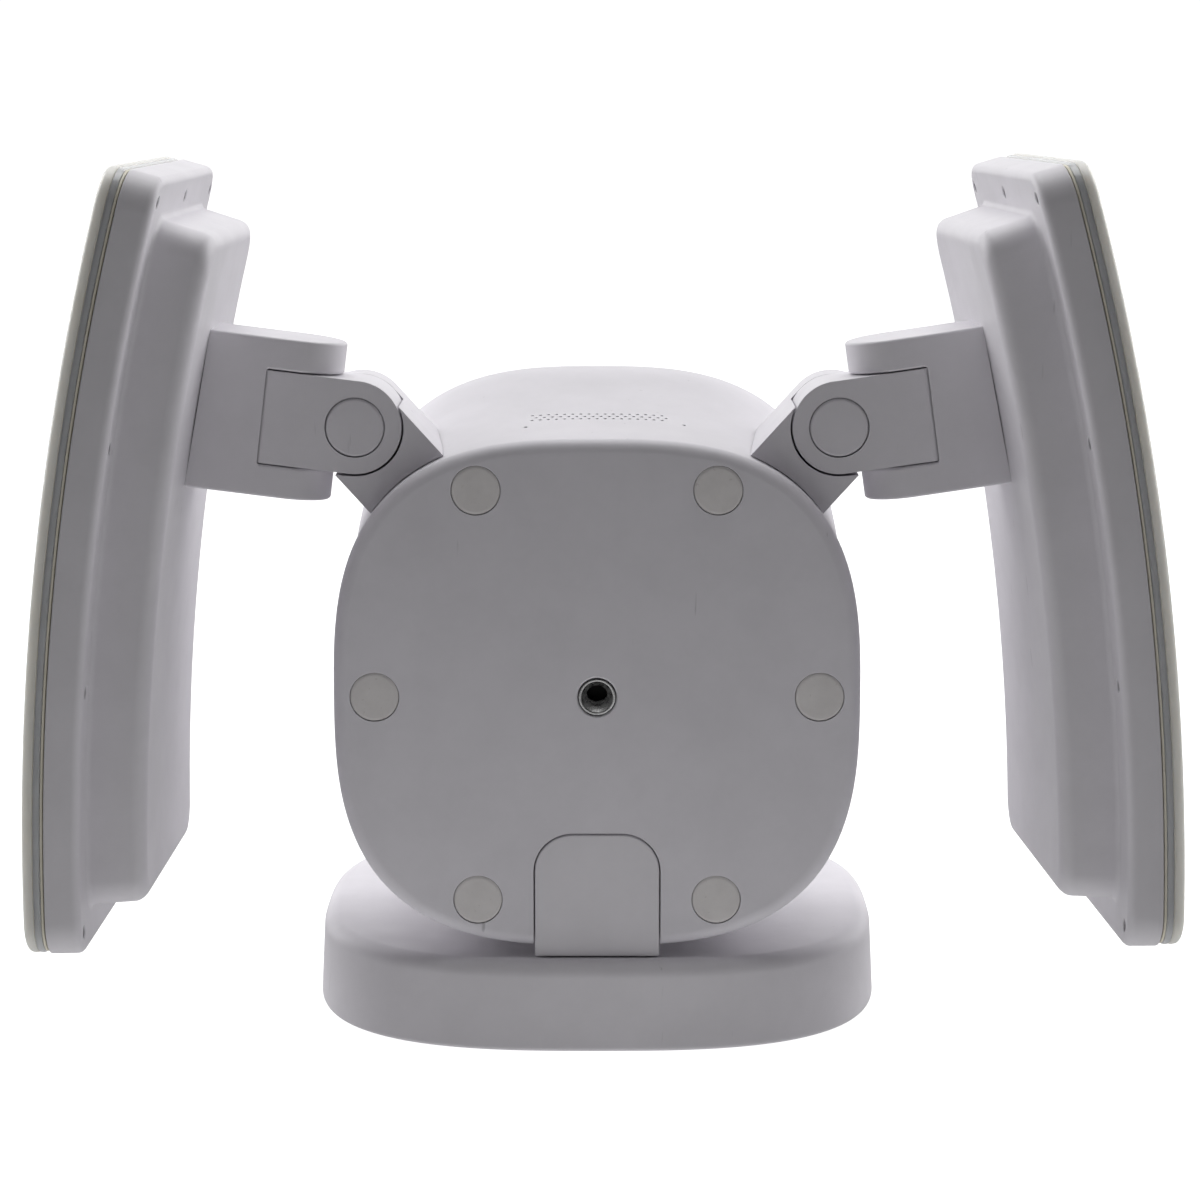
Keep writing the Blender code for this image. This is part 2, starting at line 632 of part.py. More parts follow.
def build_socket(side, out):
    frame = block_frame(out)
    half = KNUCKLE_RADIUS
    block = box(f"socket_block_{side}", (0, ARM_FRONT, -half), (24 * MM, SOCKET_BACK, half), "white_plastic")
    add_bevel(block, 0.8 * MM, 1)
    clear = half + 0.5 * MM
    lug = rod(f"socket_lug_{side}", "Y", half, TONGUE_BACK + GAP, SOCKET_BACK - 0.001 * MM, segments=40)
    cup = rod(f"socket_cup_{side}", "Y", clear, 0, TONGUE_BACK + GAP - 0.001 * MM, segments=40)
    bore = rod(f"socket_bore_{side}", "Y", 3.1 * MM, 0, 60 * MM, segments=20)
    for piece in (block, lug, cup, bore):
        piece.matrix_world = frame
    lean, _ = REST[side]
    sweep = box(f"tongue_sweep_{side}", (0, 0, -clear), (30 * MM, TONGUE_BACK + GAP, clear))
    sweep.location = (out * KNUCKLE_X, 0, KNUCKLE_Z)
    sweep.rotation_euler = (0, radians(-lean + 4.0) if out > 0 else radians(180 + lean - 4.0), 0)
    boolean(block, lug, "UNION")
    boolean(block, cup)
    boolean(block, sweep)
    boolean(block, bore)
    envelope = loft(f"body_envelope_{side}", [body_ring(section, GAP) for section in SECTIONS])
    boolean(block, envelope)
    bolt_profile = [
        (0, 29.4), (5.0, 29.4), (5.0, 26.6), (2.8, 26.6), (2.8, 0.9), (4.8, 0.9), (4.8, -2.6), (0, -2.6),
    ]
    bolt = turned(f"knuckle_bolt_{side}", [(r * MM, z * MM) for r, z in bolt_profile], "steel", steps=16)
    bolt.rotation_euler = (pi / 2, 0, 0)
    bolt.location = (out * KNUCKLE_X, 39.4 * MM, KNUCKLE_Z)


def build_arm(side, out):
    lean, swivel = REST[side]
    knuckle = empty(f"knuckle_axis_{side}", (out * KNUCKLE_X, 0, KNUCKLE_Z), (0, radians(-out * lean), 0))
    half = KNUCKLE_RADIUS
    front = ARM_FRONT + GAP
    reach = out * SWIVEL_REACH
    end = POCKET_RADIUS - 0.4 * MM
    near = ARM_MIDDLE - front
    far = TONGUE_BACK - ARM_MIDDLE
    start = -degrees(asin(near / end))
    stop = degrees(asin(far / end))
    nose = [(reach + out * a, b) for a, b in arc((0, ARM_MIDDLE), end, start, stop, 6)]
    outline = [(-out * 12 * MM, front)] + nose + [(-out * 12 * MM, TONGUE_BACK)]
    tongue = prism(f"arm_tongue_{side}", outline, "Z", -half, half, "white_plastic", knuckle)
    stadium = arc((0, 0), half, 90, 270, 14)
    stadium = [(out * x, z) for x, z in stadium] + [(out * 40 * MM, -half), (out * 40 * MM, half)]
    boolean(tongue, prism(f"tongue_round_{side}", stadium, "Y", 0, 40 * MM, None, knuckle), "INTERSECT")
    add_bevel(tongue, 0.7 * MM, 1, 50)
    cap_seat = rod(f"cap_seat_{side}", "Y", 7.1 * MM, 0, front + 1.6 * MM, (0, 0, 0), None, knuckle, 36)
    head_seat = rod(f"head_seat_{side}", "Y", 5.4 * MM, 0, front + 5.0 * MM, (0, 0, 0), None, knuckle, 24)
    bolt_way = rod(f"bolt_way_{side}", "Y", 3.1 * MM, 0, 60 * MM, (0, 0, 0), None, knuckle, 20)
    pin_place = (reach, ARM_MIDDLE, 0)
    pin_way = rod(f"pin_way_{side}", "Z", PIN_HOLE, -30 * MM, 30 * MM, pin_place, None, knuckle, 20)
    for cutter in (cap_seat, head_seat, bolt_way, pin_way):
        boolean(tongue, cutter)
    cap_profile = [(0, 0), (6.5, 0), (6.85, -0.3), (6.85, -1.2), (0, -1.2)]
    cap_profile = [(r * MM, z * MM) for r, z in cap_profile]
    cap = turned(f"knuckle_cap_{side}", cap_profile, "white_plastic", knuckle, 28)
    cap.rotation_euler = (pi / 2, 0, 0)
    cap.location = (0, front, 0)

    swivel_axis = empty(f"swivel_axis_{side}", (reach, ARM_MIDDLE, 0), (0, 0, radians(out * swivel)), knuckle)
    build_yoke(side, out, swivel_axis)
    build_light_head(side, out, swivel_axis)


def bow_depth(length, depth):
    """Where the bowed surface at a depth lies at a distance along the light head."""
    radius = HEAD_BOW + depth - HEAD_BACK
    return depth - radius + sqrt(radius ** 2 - (length - HEAD_MIDDLE) ** 2)


def build_yoke(side, out, axis):
    outline = arc((0, 0), YOKE_RADIUS, 90, 270, 14)
    foot = 26 * MM
    outline = [(out * x, y) for x, y in outline] + [(out * foot, -YOKE_RADIUS), (out * foot, YOKE_RADIUS)]
    yoke = prism(f"yoke_{side}", outline, "Z", -YOKE_HALF, YOKE_HALF, "white_plastic", axis)
    add_bevel(yoke, 0.9 * MM, 1, 50)
    middle = bow_depth(0, HEAD_BACK) - 1.2 * GAP
    slope = (bow_depth(YOKE_HALF, HEAD_BACK) - bow_depth(-YOKE_HALF, HEAD_BACK)) / (2 * YOKE_HALF)
    long = 30 * MM
    trim_outline = [
        (out * (middle + slope * long), long), (out * (middle - slope * long), -long),
        (out * 2 * long, -long), (out * 2 * long, long),
    ]
    trim = prism(f"yoke_trim_{side}", trim_outline, "Y", -20 * MM, 20 * MM, None, axis)
    pocket_outline = [(out * x, y) for x, y in arc((0, 0), POCKET_RADIUS, -90, 90, 20)]
    pocket_outline += [(-out * long, POCKET_RADIUS), (-out * long, -POCKET_RADIUS)]
    pocket = prism(f"yoke_pocket_{side}", pocket_outline, "Z", -POCKET_HALF, POCKET_HALF, None, axis)
    pin_way = rod(f"yoke_pin_way_{side}", "Z", PIN_HOLE, -16.9 * MM, 16.9 * MM, (0, 0, 0), None, axis, 20)
    boolean(yoke, trim)
    boolean(yoke, pocket)
    boolean(yoke, pin_way)
    rod(f"swivel_pin_{side}", "Z", PIN_RADIUS, -16.6 * MM, 16.6 * MM, (0, 0, 0), "steel", axis, 20)


def head_half_outline(inset):
    """Half of a light head's rounded outline, from its top end to its bottom end, as (y, s) points."""
    half_y = HEAD_HALF_Y - inset
    half_l = HEAD_HALF_L - inset
    corner = max(HEAD_CORNER - inset, 1.5 * MM) if inset < 5 * MM else 6.5 * MM
    points = arc((half_y - corner, half_l - corner), corner, 90, 0, 3)
    side = half_l - corner
    steps = 8
    points += [(half_y, side - 2 * side * i / steps) for i in range(1, steps)]
    points += arc((half_y - corner, -half_l + corner), corner, 0, -90, 3)
    return points


def bowed(y, length, depth, out):
    """A flat light-head coordinate put on the bow, in the swivel's frame."""
    radius = HEAD_BOW + depth - HEAD_BACK
    angle = length / HEAD_BOW
    across = HEAD_BACK - HEAD_BOW + radius * cos(angle)
    return (out * across, y, HEAD_MIDDLE + radius * sin(angle))


def bowed_solid(name, profile, out, finish, parent):
    """A tray or slab from (inset, depth) pairs: its first and last rings are closed by strips across it."""
    bm = bmesh.new()
    rings = []
    for inset, depth in profile:
        half = head_half_outline(inset)
        right = [bm.verts.new(bowed(y, s, depth, out)) for y, s in half]
        left = [bm.verts.new(bowed(-y, s, depth, out)) for y, s in half]
        rings.append((right, left))
    for (right, left), (next_right, next_left) in zip(rings, rings[1:]):
        loop = right + left[::-1]
        following = next_right + next_left[::-1]
        count = len(loop)
        for i in range(count):
            j = (i + 1) % count
            bm.faces.new((loop[i], loop[j], following[j], following[i]))
    for right, left in (rings[0], rings[-1]):
        for i in range(len(right) - 1):
            bm.faces.new((right[i], right[i + 1], left[i + 1], left[i]))
    return add_object(name, mesh_from_bmesh(name, bm), finish, parent)


def rim_screw_places():
    places = [(out * RIM_SCREW_Y, length) for out in (-1, 1) for length in RIM_SCREW_LENGTHS]
    return places + [(0.0, RIM_SCREW_LENGTHS[0]), (0.0, RIM_SCREW_LENGTHS[-1])]


def build_housing(side, out, axis, shelf):
    """The tray with a raised back: inside wall, shelf, side wall, rim with screw holes, and bump."""
    mm = MM
    rim = HEAD_RIM
    inner = BUMP_INSET + HEAD_WALL
    profile = [
        (inner + 1.2 * mm, HEAD_BACK + HEAD_WALL), (inner, HEAD_BACK + HEAD_WALL + 1.2 * mm), (inner, shelf),
        (HEAD_WALL, shelf), (HEAD_WALL, HEAD_FRONT), (0.0, HEAD_FRONT), (0.0, rim + 1.3 * mm),
        (0.4 * mm, rim + 0.4 * mm), (1.3 * mm, rim), (BUMP_INSET - 1.0 * mm, rim),
        (BUMP_INSET, rim - 1.0 * mm), (BUMP_INSET + 0.4 * mm, HEAD_BACK + 3.6 * mm),
        (BUMP_INSET + 0.9 * mm, HEAD_BACK + 1.7 * mm), (BUMP_INSET + 2.1 * mm, HEAD_BACK + 0.5 * mm),
        (BUMP_INSET + 4.0 * mm, HEAD_BACK),
    ]
    housing = bowed_solid(f"light_housing_{side}", profile, out, "white_plastic", axis)
    for i, (y, length) in enumerate(rim_screw_places()):
        low, high = sorted((out * (-1.2 * mm), out * 1.7 * mm))
        hole = rod(f"rim_screw_way_{side}_{i}", "X", RIM_SCREW_RADIUS, low, high, (0, 0, 0), None, axis, 10)
        hole.location = bowed(y, length, rim, out)
        hole.rotation_euler = (0, -out * length / HEAD_BOW, 0)
        boolean(housing, hole)


def build_heat_sink(side, out, axis, shelf):
    """A finned plate behind the light board."""
    tip = HEAD_BACK + HEAD_WALL + 1.5 * MM
    front = shelf - 3.4 * MM
    root = front - 2.0 * MM
    outline = []
    for i in range(FIN_COUNT):
        y = FIN_PITCH * (i - (FIN_COUNT - 1) / 2)
        for x, half in ((root, -1.2 * MM), (tip, -1.0 * MM), (tip, 1.0 * MM), (root, 1.2 * MM)):
            outline.append((out * x, y + half))
    outline += [(out * front, SINK_HALF_Y), (out * front, -SINK_HALF_Y)]
    low, high = SINK_RANGE
    prism(f"heat_sink_{side}", outline, "Z", HEAD_MIDDLE + low, HEAD_MIDDLE + high, "aluminium", axis)


def build_light_head(side, out, axis):
    mm = MM
    shelf = HEAD_RIM + 2.0 * mm
    build_housing(side, out, axis, shelf)
    build_heat_sink(side, out, axis, shelf)

    board_back = shelf + 1.9 * mm
    board_front = board_back + LED_BOARD_THICKNESS
    edge = HEAD_WALL + 0.6 * mm
    bowed_solid(f"led_board_{side}", [(edge, board_back), (edge, board_front)], out, "light_board", axis)

    seal_back = board_front + GAP
    seal_front = HEAD_FRONT - 0.1 * mm
    seal_out = edge - 0.3 * mm
    seal_in = edge + 2.0 * mm
    rings = []
    corners = [(seal_out, seal_back), (seal_out, seal_front), (seal_in, seal_front), (seal_in, seal_back)]
    for inset, depth in corners:
        half_points = head_half_outline(inset)
        right = [bowed(y, s, depth, out) for y, s in half_points]
        left = [bowed(-y, s, depth, out) for y, s in half_points]
        rings.append(right + left[::-1])
    ring_solid(f"diffuser_gasket_{side}", rings, "rubber", axis)

    lens_back = HEAD_FRONT + GAP
    profile = [
        (6.2 * mm, lens_back + 2.6 * mm), (5.6 * mm, lens_back + 2.0 * mm), (5.6 * mm, lens_back),
        (0.5 * mm, lens_back), (0.3 * mm, lens_back + 1.0 * mm), (0.3 * mm, LENS_FRONT - 1.8 * mm),
        (0.8 * mm, LENS_FRONT - 0.6 * mm), (2.0 * mm, LENS_FRONT),
    ]
    bowed_solid(f"light_diffuser_{side}", profile, out, "diffuser", axis)


def move_to_origin():
    """Put the origin in the middle of the plate: every object without a parent moves along Y."""
    for obj in bpy.data.objects:
        if obj.parent is None:
            obj.location.y -= PLATE_Y


build_plate()
build_bracket()
build_neck()
build_body()
build_cover()
build_electronics()
build_camera()
for side_name, outward in SIDES.items():
    build_socket(side_name, outward)
    build_arm(side_name, outward)
move_to_origin()
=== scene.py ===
"""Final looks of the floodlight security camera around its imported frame. Metres, the frame's own axes."""
import json
from math import asin, cos, degrees, pi, radians, sin, sqrt

import bmesh
import bpy
from mathutils import Matrix, Vector


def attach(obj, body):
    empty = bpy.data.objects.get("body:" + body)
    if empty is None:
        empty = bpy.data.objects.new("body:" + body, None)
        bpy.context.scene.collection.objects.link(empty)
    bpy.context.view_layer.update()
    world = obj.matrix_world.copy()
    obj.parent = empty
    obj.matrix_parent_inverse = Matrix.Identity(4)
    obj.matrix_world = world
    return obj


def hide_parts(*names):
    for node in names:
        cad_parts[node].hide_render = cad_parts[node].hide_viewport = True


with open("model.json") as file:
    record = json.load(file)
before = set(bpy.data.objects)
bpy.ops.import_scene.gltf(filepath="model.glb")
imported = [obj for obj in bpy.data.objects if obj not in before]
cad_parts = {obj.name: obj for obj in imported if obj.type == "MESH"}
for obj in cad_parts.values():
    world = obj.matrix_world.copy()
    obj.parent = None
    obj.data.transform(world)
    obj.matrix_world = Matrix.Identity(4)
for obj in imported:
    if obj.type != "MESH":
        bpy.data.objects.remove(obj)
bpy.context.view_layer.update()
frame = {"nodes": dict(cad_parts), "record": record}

MM = 0.001
GAP = 0.3 * MM  # the clearance left between neighbouring pieces
SHIFT = -64.0 * MM  # the cover's face lies here along Y
SIDES = {"left": -1, "right": 1}


# ---------------------------------------------------------------- materials
def shader_node(tree, kind, **inputs):
    node = tree.nodes.new(kind)
    for name, value in inputs.items():
        node.inputs[name.replace("_", " ")].default_value = value
    return node


def noise(tree, scale, detail=3.0, roughness=0.55, stretch=None):
    """Noise in the object's own metres."""
    place = tree.nodes.new("ShaderNodeTexCoord")
    source = place.outputs["Object"]
    if stretch:
        mapping = tree.nodes.new("ShaderNodeMapping")
        mapping.inputs["Scale"].default_value = stretch
        tree.links.new(source, mapping.inputs["Vector"])
        source = mapping.outputs["Vector"]
    texture = shader_node(tree, "ShaderNodeTexNoise", Scale=scale, Detail=detail, Roughness=roughness)
    tree.links.new(source, texture.inputs["Vector"])
    return texture.outputs["Fac"]


def ramp(tree, source, low, high, start, end):
    node = tree.nodes.new("ShaderNodeValToRGB")
    node.color_ramp.elements[0].position = low
    node.color_ramp.elements[0].color = (*start, 1)
    node.color_ramp.elements[1].position = high
    node.color_ramp.elements[1].color = (*end, 1)
    tree.links.new(source, node.inputs["Fac"])
    return node.outputs["Color"]


def spread(tree, source, low, high):
    """The source's middle values spread over a range of numbers."""
    node = tree.nodes.new("ShaderNodeMapRange")
    node.inputs["From Min"].default_value = 0.3
    node.inputs["From Max"].default_value = 0.7
    node.inputs["To Min"].default_value = low
    node.inputs["To Max"].default_value = high
    tree.links.new(source, node.inputs["Value"])
    return node.outputs["Result"]


def number(tree, operation, *values):
    """A Math node of sockets and numbers."""
    node = tree.nodes.new("ShaderNodeMath")
    node.operation = operation
    for i, value in enumerate(values):
        if isinstance(value, bpy.types.NodeSocket):
            tree.links.new(value, node.inputs[i])
        else:
            node.inputs[i].default_value = value
    return node.outputs[0]


def mixed(tree, factor, first, second):
    node = tree.nodes.new("ShaderNodeMix")
    node.data_type = "RGBA"
    sockets = {socket.identifier: socket for socket in node.inputs}
    for value, socket in ((factor, "Factor_Float"), (first, "A_Color"), (second, "B_Color")):
        if isinstance(value, bpy.types.NodeSocket):
            tree.links.new(value, sockets[socket])
        else:
            sockets[socket].default_value = value
    return [socket for socket in node.outputs if socket.identifier == "Result_Color"][0]


def bumps(tree, layers):
    """A chain of bump nodes from (height, strength, distance) layers."""
    normal = None
    for height, strength, distance in layers:
        node = shader_node(tree, "ShaderNodeBump", Strength=strength, Distance=distance)
        tree.links.new(height, node.inputs["Height"])
        if normal:
            tree.links.new(normal, node.inputs["Normal"])
        normal = node.outputs["Normal"]
    return normal


def new_material(name):
    made = bpy.data.materials.new(name)
    made.use_nodes = True
    return made, made.node_tree, made.node_tree.nodes["Principled BSDF"]


GRIME_AMOUNT = 0.22  # how far handling grime covers moulded plastic where it is thickest


def moulded_plastic(name, colour, grime, rough=(0.38, 0.5), grain=1.0, marks=0.0):
    """Moulded plastic: spark-eroded grain, faint flow unevenness, handling grime, and marks if asked for."""
    made, tree, shader = new_material(name)
    cloud = noise(tree, 26, 5, 0.6)
    smudge = ramp(tree, noise(tree, 70, 6, 0.65), 0.38, 0.72, (0, 0, 0), (1, 1, 1))
    dull, bright = [0.965 * c for c in colour], [min(1, 1.02 * c) for c in colour]
    base = ramp(tree, cloud, 0.3, 0.72, dull, bright)
    dirty = mixed(tree, number(tree, "MULTIPLY", smudge, GRIME_AMOUNT), base, (*grime, 1))
    if marks:
        scuffs = ramp(tree, noise(tree, 420, 2, 0.5, (1, 1, 0.12)), 0.735, 0.78, (0, 0, 0), (1, 1, 1))
        dirty = mixed(tree, number(tree, "MULTIPLY", scuffs, marks), dirty, (*(0.45 * c for c in grime), 1))
    tree.links.new(dirty, shader.inputs["Base Color"])
    tree.links.new(spread(tree, noise(tree, 95, 4), *rough), shader.inputs["Roughness"])
    fine = noise(tree, 2600, 2, 0.6)
    wave = noise(tree, 45, 2, 0.4)
    tree.links.new(
        bumps(tree, [(fine, 0.10 * grain, 0.00006), (wave, 0.05, 0.0006)]), shader.inputs["Normal"]
    )
    shader.inputs["Specular IOR Level"].default_value = 0.42
    return made


def speckled_soft(name, colour, dark, rough=(0.55, 0.7)):
    """Silicone and rubber: soft sheen, dust that has stuck to it."""
    made, tree, shader = new_material(name)
    cloud = noise(tree, 160, 5, 0.65)
    base = ramp(tree, cloud, 0.32, 0.7, dark, colour)
    dust = ramp(tree, noise(tree, 900, 3, 0.6), 0.66, 0.74, (0, 0, 0), (0.35, 0.35, 0.35))
    tree.links.new(mixed(tree, dust, base, (0.45, 0.42, 0.39, 1)), shader.inputs["Base Color"])
    tree.links.new(spread(tree, noise(tree, 300, 3), *rough), shader.inputs["Roughness"])
    tree.links.new(bumps(tree, [(noise(tree, 1800, 3), 0.16, 0.0001)]), shader.inputs["Normal"])
    shader.inputs["Specular IOR Level"].default_value = 0.3
    return made


def metal(name, bright, dull, rough=(0.2, 0.38), brushed=(1, 1, 1)):
    made, tree, shader = new_material(name)
    tree.links.new(ramp(tree, noise(tree, 130, 5), 0.3, 0.7, dull, bright), shader.inputs["Base Color"])
    tree.links.new(spread(tree, noise(tree, 900, 3, 0.6, brushed), *rough), shader.inputs["Roughness"])
    scratches = noise(tree, 2200, 2, 0.6, brushed)
    tree.links.new(bumps(tree, [(scratches, 0.12, 0.00005)]), shader.inputs["Normal"])
    shader.inputs["Metallic"].default_value = 1.0
    return made


def diffuser_plastic(name, colour, shade, rough, scatter):
    """Translucent acrylic: coloured unevenly, with faint upright streaks."""
    made, tree, shader = new_material(name)
    tree.links.new(ramp(tree, noise(tree, 38, 4), 0.3, 0.7, shade, colour), shader.inputs["Base Color"])
    tree.links.new(spread(tree, noise(tree, 120, 4), *rough), shader.inputs["Roughness"])
    tree.links.new(
        bumps(tree, [(noise(tree, 500, 2, 0.5, (1, 1, 0.05)), 0.10, 0.0002)]), shader.inputs["Normal"]
    )
    shader.inputs["Subsurface Weight"].default_value = scatter
    shader.inputs["Subsurface Radius"].default_value = (0.008, 0.0075, 0.007)
    shader.inputs["Subsurface Scale"].default_value = 1.0
    shader.inputs["Coat Weight"].default_value = 0.25
    shader.inputs["Coat Roughness"].default_value = 0.12
    return made


def lens_glass():
    made, tree, shader = new_material("lens_glass")
    tree.links.new(
        ramp(tree, noise(tree, 60, 3), 0.3, 0.7, (0.008, 0.008, 0.012), (0.02, 0.02, 0.03)),
        shader.inputs["Base Color"],
    )
    tree.links.new(spread(tree, noise(tree, 180, 4), 0.03, 0.09), shader.inputs["Roughness"])
    tree.links.new(bumps(tree, [(noise(tree, 90, 2), 0.02, 0.0002)]), shader.inputs["Normal"])
    shader.inputs["Coat Weight"].default_value = 0.6
    shader.inputs["Coat Roughness"].default_value = 0.03
    return made


WHITE = moulded_plastic("white_moulded_plastic", (0.77, 0.75, 0.79), (0.60, 0.585, 0.61), marks=0.25)
COVER_WHITE = moulded_plastic(
    "cover_moulded_plastic", (0.765, 0.745, 0.79), (0.58, 0.565, 0.60), (0.4, 0.52), grain=1.3, marks=0.5
)
SILICONE = speckled_soft("silicone_plug", (0.79, 0.765, 0.76), (0.72, 0.695, 0.69))
RUBBER = speckled_soft("black_rubber", (0.055, 0.055, 0.055), (0.03, 0.03, 0.03), (0.6, 0.8))
DARK = moulded_plastic("black_moulded_plastic", (0.035, 0.035, 0.04), (0.07, 0.07, 0.07), (0.4, 0.55), 1.2)
STEEL = metal("plated_steel", (0.66, 0.66, 0.66), (0.5, 0.5, 0.5))
DARK_STEEL = metal("dark_plated_steel", (0.32, 0.31, 0.30), (0.2, 0.2, 0.2), (0.25, 0.4))
BRASS = metal("machined_brass", (0.76, 0.58, 0.26), (0.62, 0.46, 0.2))
ALUMINIUM = metal("extruded_aluminium", (0.8, 0.8, 0.81), (0.66, 0.66, 0.68), (0.3, 0.45), (1, 1, 0.05))
BOARD = moulded_plastic("circuit_board", (0.02, 0.16, 0.06), (0.03, 0.1, 0.05), (0.3, 0.45))
LIGHT_BOARD = moulded_plastic("light_board", (0.86, 0.86, 0.83), (0.7, 0.68, 0.6), (0.3, 0.45))
DIFFUSER = diffuser_plastic("aged_diffuser", (0.93, 0.90, 0.82), (0.89, 0.85, 0.75), (0.3, 0.42), 0.8)
CLEAR_BAND = diffuser_plastic(
    "clear_acrylic_band", (0.98, 0.94, 0.96), (0.95, 0.90, 0.92), (0.12, 0.25), 0.95
)
SEAL_LINE = speckled_soft("aged_seal", (0.88, 0.84, 0.72), (0.82, 0.78, 0.64), (0.45, 0.6))
GLASS = lens_glass()
# Near-black plastic for the far end of the insert's bore: painted shade of the deep blind hole.
PAINTED_HOLE_SHADE = moulded_plastic("painted_shade_inside", (0.05, 0.048, 0.05), (0.03, 0.03, 0.03), (0.7, 0.85))


# ---------------------------------------------------------------- building blocks
WORK = bpy.data.collections.new("work")
bpy.context.scene.collection.children.link(WORK)


def add_object(name, bm, finish=None):
    bmesh.ops.recalc_face_normals(bm, faces=bm.faces)
    mesh = bpy.data.meshes.new(name)
    bm.to_mesh(mesh)
    bm.free()
    obj = bpy.data.objects.new(name, mesh)
    WORK.objects.link(obj)
    if finish:
        mesh.materials.append(finish)
    return obj


def place(obj, matrix):
    """Move the mesh itself, so that the object stays at the frame's origin."""
    obj.data.transform(matrix)
    return obj


def freeze(obj):
    """Apply every modifier."""
    depsgraph = bpy.context.evaluated_depsgraph_get()
    mesh = bpy.data.meshes.new_from_object(obj.evaluated_get(depsgraph))
    obj.modifiers.clear()
    obj.data = mesh
    return obj


def boolean(obj, other, operation="DIFFERENCE"):
    """Join or cut at once, and drop the cutter."""
    modifier = obj.modifiers.new("cut", "BOOLEAN")
    modifier.operation = operation
    modifier.solver = "EXACT"
    modifier.object = other
    freeze(obj)
    bpy.data.objects.remove(other, do_unlink=True)
    return obj


def rounded(obj, width, segments=3, angle=35):
    modifier = obj.modifiers.new("round", "BEVEL")
    modifier.width = width
    modifier.segments = segments
    modifier.limit_method = "ANGLE"
    modifier.angle_limit = radians(angle)
    modifier.use_clamp_overlap = True
    modifier.harden_normals = False
    modifier.miter_outer = "MITER_ARC"
    return freeze(obj)


def shade(obj, angle=34):
    """Smooth over round stretches, with the large flat faces kept flat."""
    obj.data.shade_smooth()
    obj.data.set_sharp_from_angle(angle=radians(angle))
    weighted = obj.modifiers.new("flat_faces", "WEIGHTED_NORMAL")
    weighted.keep_sharp = True
    weighted.weight = 100
    return freeze(obj)


def give(obj, body, slot, *nodes, angle=34):
    """A finished piece: shaded, riding on its body, standing for the CAD nodes named. Its slot argument is
    not used.
    """
    shade(obj, angle)
    obj.data.update()
    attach(obj, body)
    if nodes:
        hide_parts(*nodes)
    return obj


def joined(name, objects):
    """One mesh of several, each keeping its own material."""
    bm = bmesh.new()
    mesh = bpy.data.meshes.new(name)
    for obj in objects:
        first = len(mesh.materials)
        for finish in obj.data.materials:
            mesh.materials.append(finish)
        start = len(bm.faces)
        bm.from_mesh(obj.data)
        bm.faces.ensure_lookup_table()
        for face in bm.faces[start:]:
            face.material_index += first
        bpy.data.objects.remove(obj, do_unlink=True)
    bm.to_mesh(mesh)
    bm.free()
    made = bpy.data.objects.new(name, mesh)
    WORK.objects.link(made)
    return made


def skin(bm, rings, closed=True):
    made = [[bm.verts.new(point) for point in ring] for ring in rings]
    count = len(made[0])
    for ring, following in zip(made, made[1:]):
        for i in range(count if closed else count - 1):
            j = (i + 1) % count
            bm.faces.new((ring[i], ring[j], following[j], following[i]))
    return made


def loft(name, rings, finish=None, caps=True):
    bm = bmesh.new()
    made = skin(bm, rings)
    if caps:
        bm.faces.new(made[0])
        bm.faces.new(made[-1])
    else:
        for first, last in zip(made[0], made[-1]):
            last.co = first.co
        bmesh.ops.remove_doubles(bm, verts=bm.verts, dist=1e-7)
    return add_object(name, bm, finish)


def turned(name, profile, finish=None, steps=64, matrix=None):
    """A profile of (radius, height) points turned about Z, closed on the axis or on itself."""
    bm = bmesh.new()
    solid = profile[0][0] == 0
    inner = profile[1:-1] if solid else profile + profile[:1]
    rings = []
    for radius, height in inner:
        turn = [2 * pi * i / steps for i in range(steps)]
        rings.append([(radius * cos(a), radius * sin(a), height) for a in turn])
    made = skin(bm, rings)
    if solid:
        for ring, (_, height) in ((made[0], profile[0]), (made[-1], profile[-1])):
            tip = bm.verts.new((0, 0, height))
            for i in range(steps):
                bm.faces.new((ring[i], ring[(i + 1) % steps], tip))
    else:
        bmesh.ops.remove_doubles(bm, verts=bm.verts, dist=1e-7)
    obj = add_object(name, bm, finish)
    return place(obj, matrix) if matrix else obj


def prism(name, outline, axis, start, end, finish=None):
    """An extruded outline. Its points are (y, z) along X, (x, z) along Y and (x, y) along Z."""
    def point(a, b, c):
        return {"X": (c, a, b), "Y": (a, c, b), "Z": (a, b, c)}[axis]

    bm = bmesh.new()
    rings = [[point(a, b, c) for a, b in outline] for c in (start, end)]
    made = skin(bm, rings)
    bm.faces.new(made[0])
    bm.faces.new(made[-1])
    return add_object(name, bm, finish)


def box(name, low, high, finish=None):
    outline = [(low[0], low[1]), (high[0], low[1]), (high[0], high[1]), (low[0], high[1])]
    return prism(name, outline, "Z", low[2], high[2], finish)


def rod(name, axis, radius, start, end, at=(0, 0), steps=64, finish=None):
    turn = [2 * pi * i / steps for i in range(steps)]
    outline = [(at[0] + radius * cos(a), at[1] + radius * sin(a)) for a in turn]
    return prism(name, outline, axis, start, end, finish)


def arc(centre, radius, start, end, steps):
    points = []
    for i in range(steps + 1):
        angle = radians(start + (end - start) * i / steps)
        points.append((centre[0] + radius * cos(angle), centre[1] + radius * sin(angle)))
    return points


def quarter_round(radius, steps):
    """(inset, rise) points of a rounded edge."""
    turn = [pi / 2 * i / steps for i in range(steps + 1)]
    return [(radius * (1 - cos(a)), radius * sin(a)) for a in turn]


def superellipse(half_x, half_z, exponent, count=192):
    """Points about the middle, spaced evenly enough for smooth shading."""
    points = []
    for i in range(count):
        t = 2 * pi * i / count
        c, s = cos(t), sin(t)
        scale = (abs(c) ** exponent + abs(s) ** exponent) ** (-1 / exponent)
        points.append((half_x * c * scale, half_z * s * scale))
    return points


def mm(points):
    return [(a * MM, b * MM) for a, b in points]


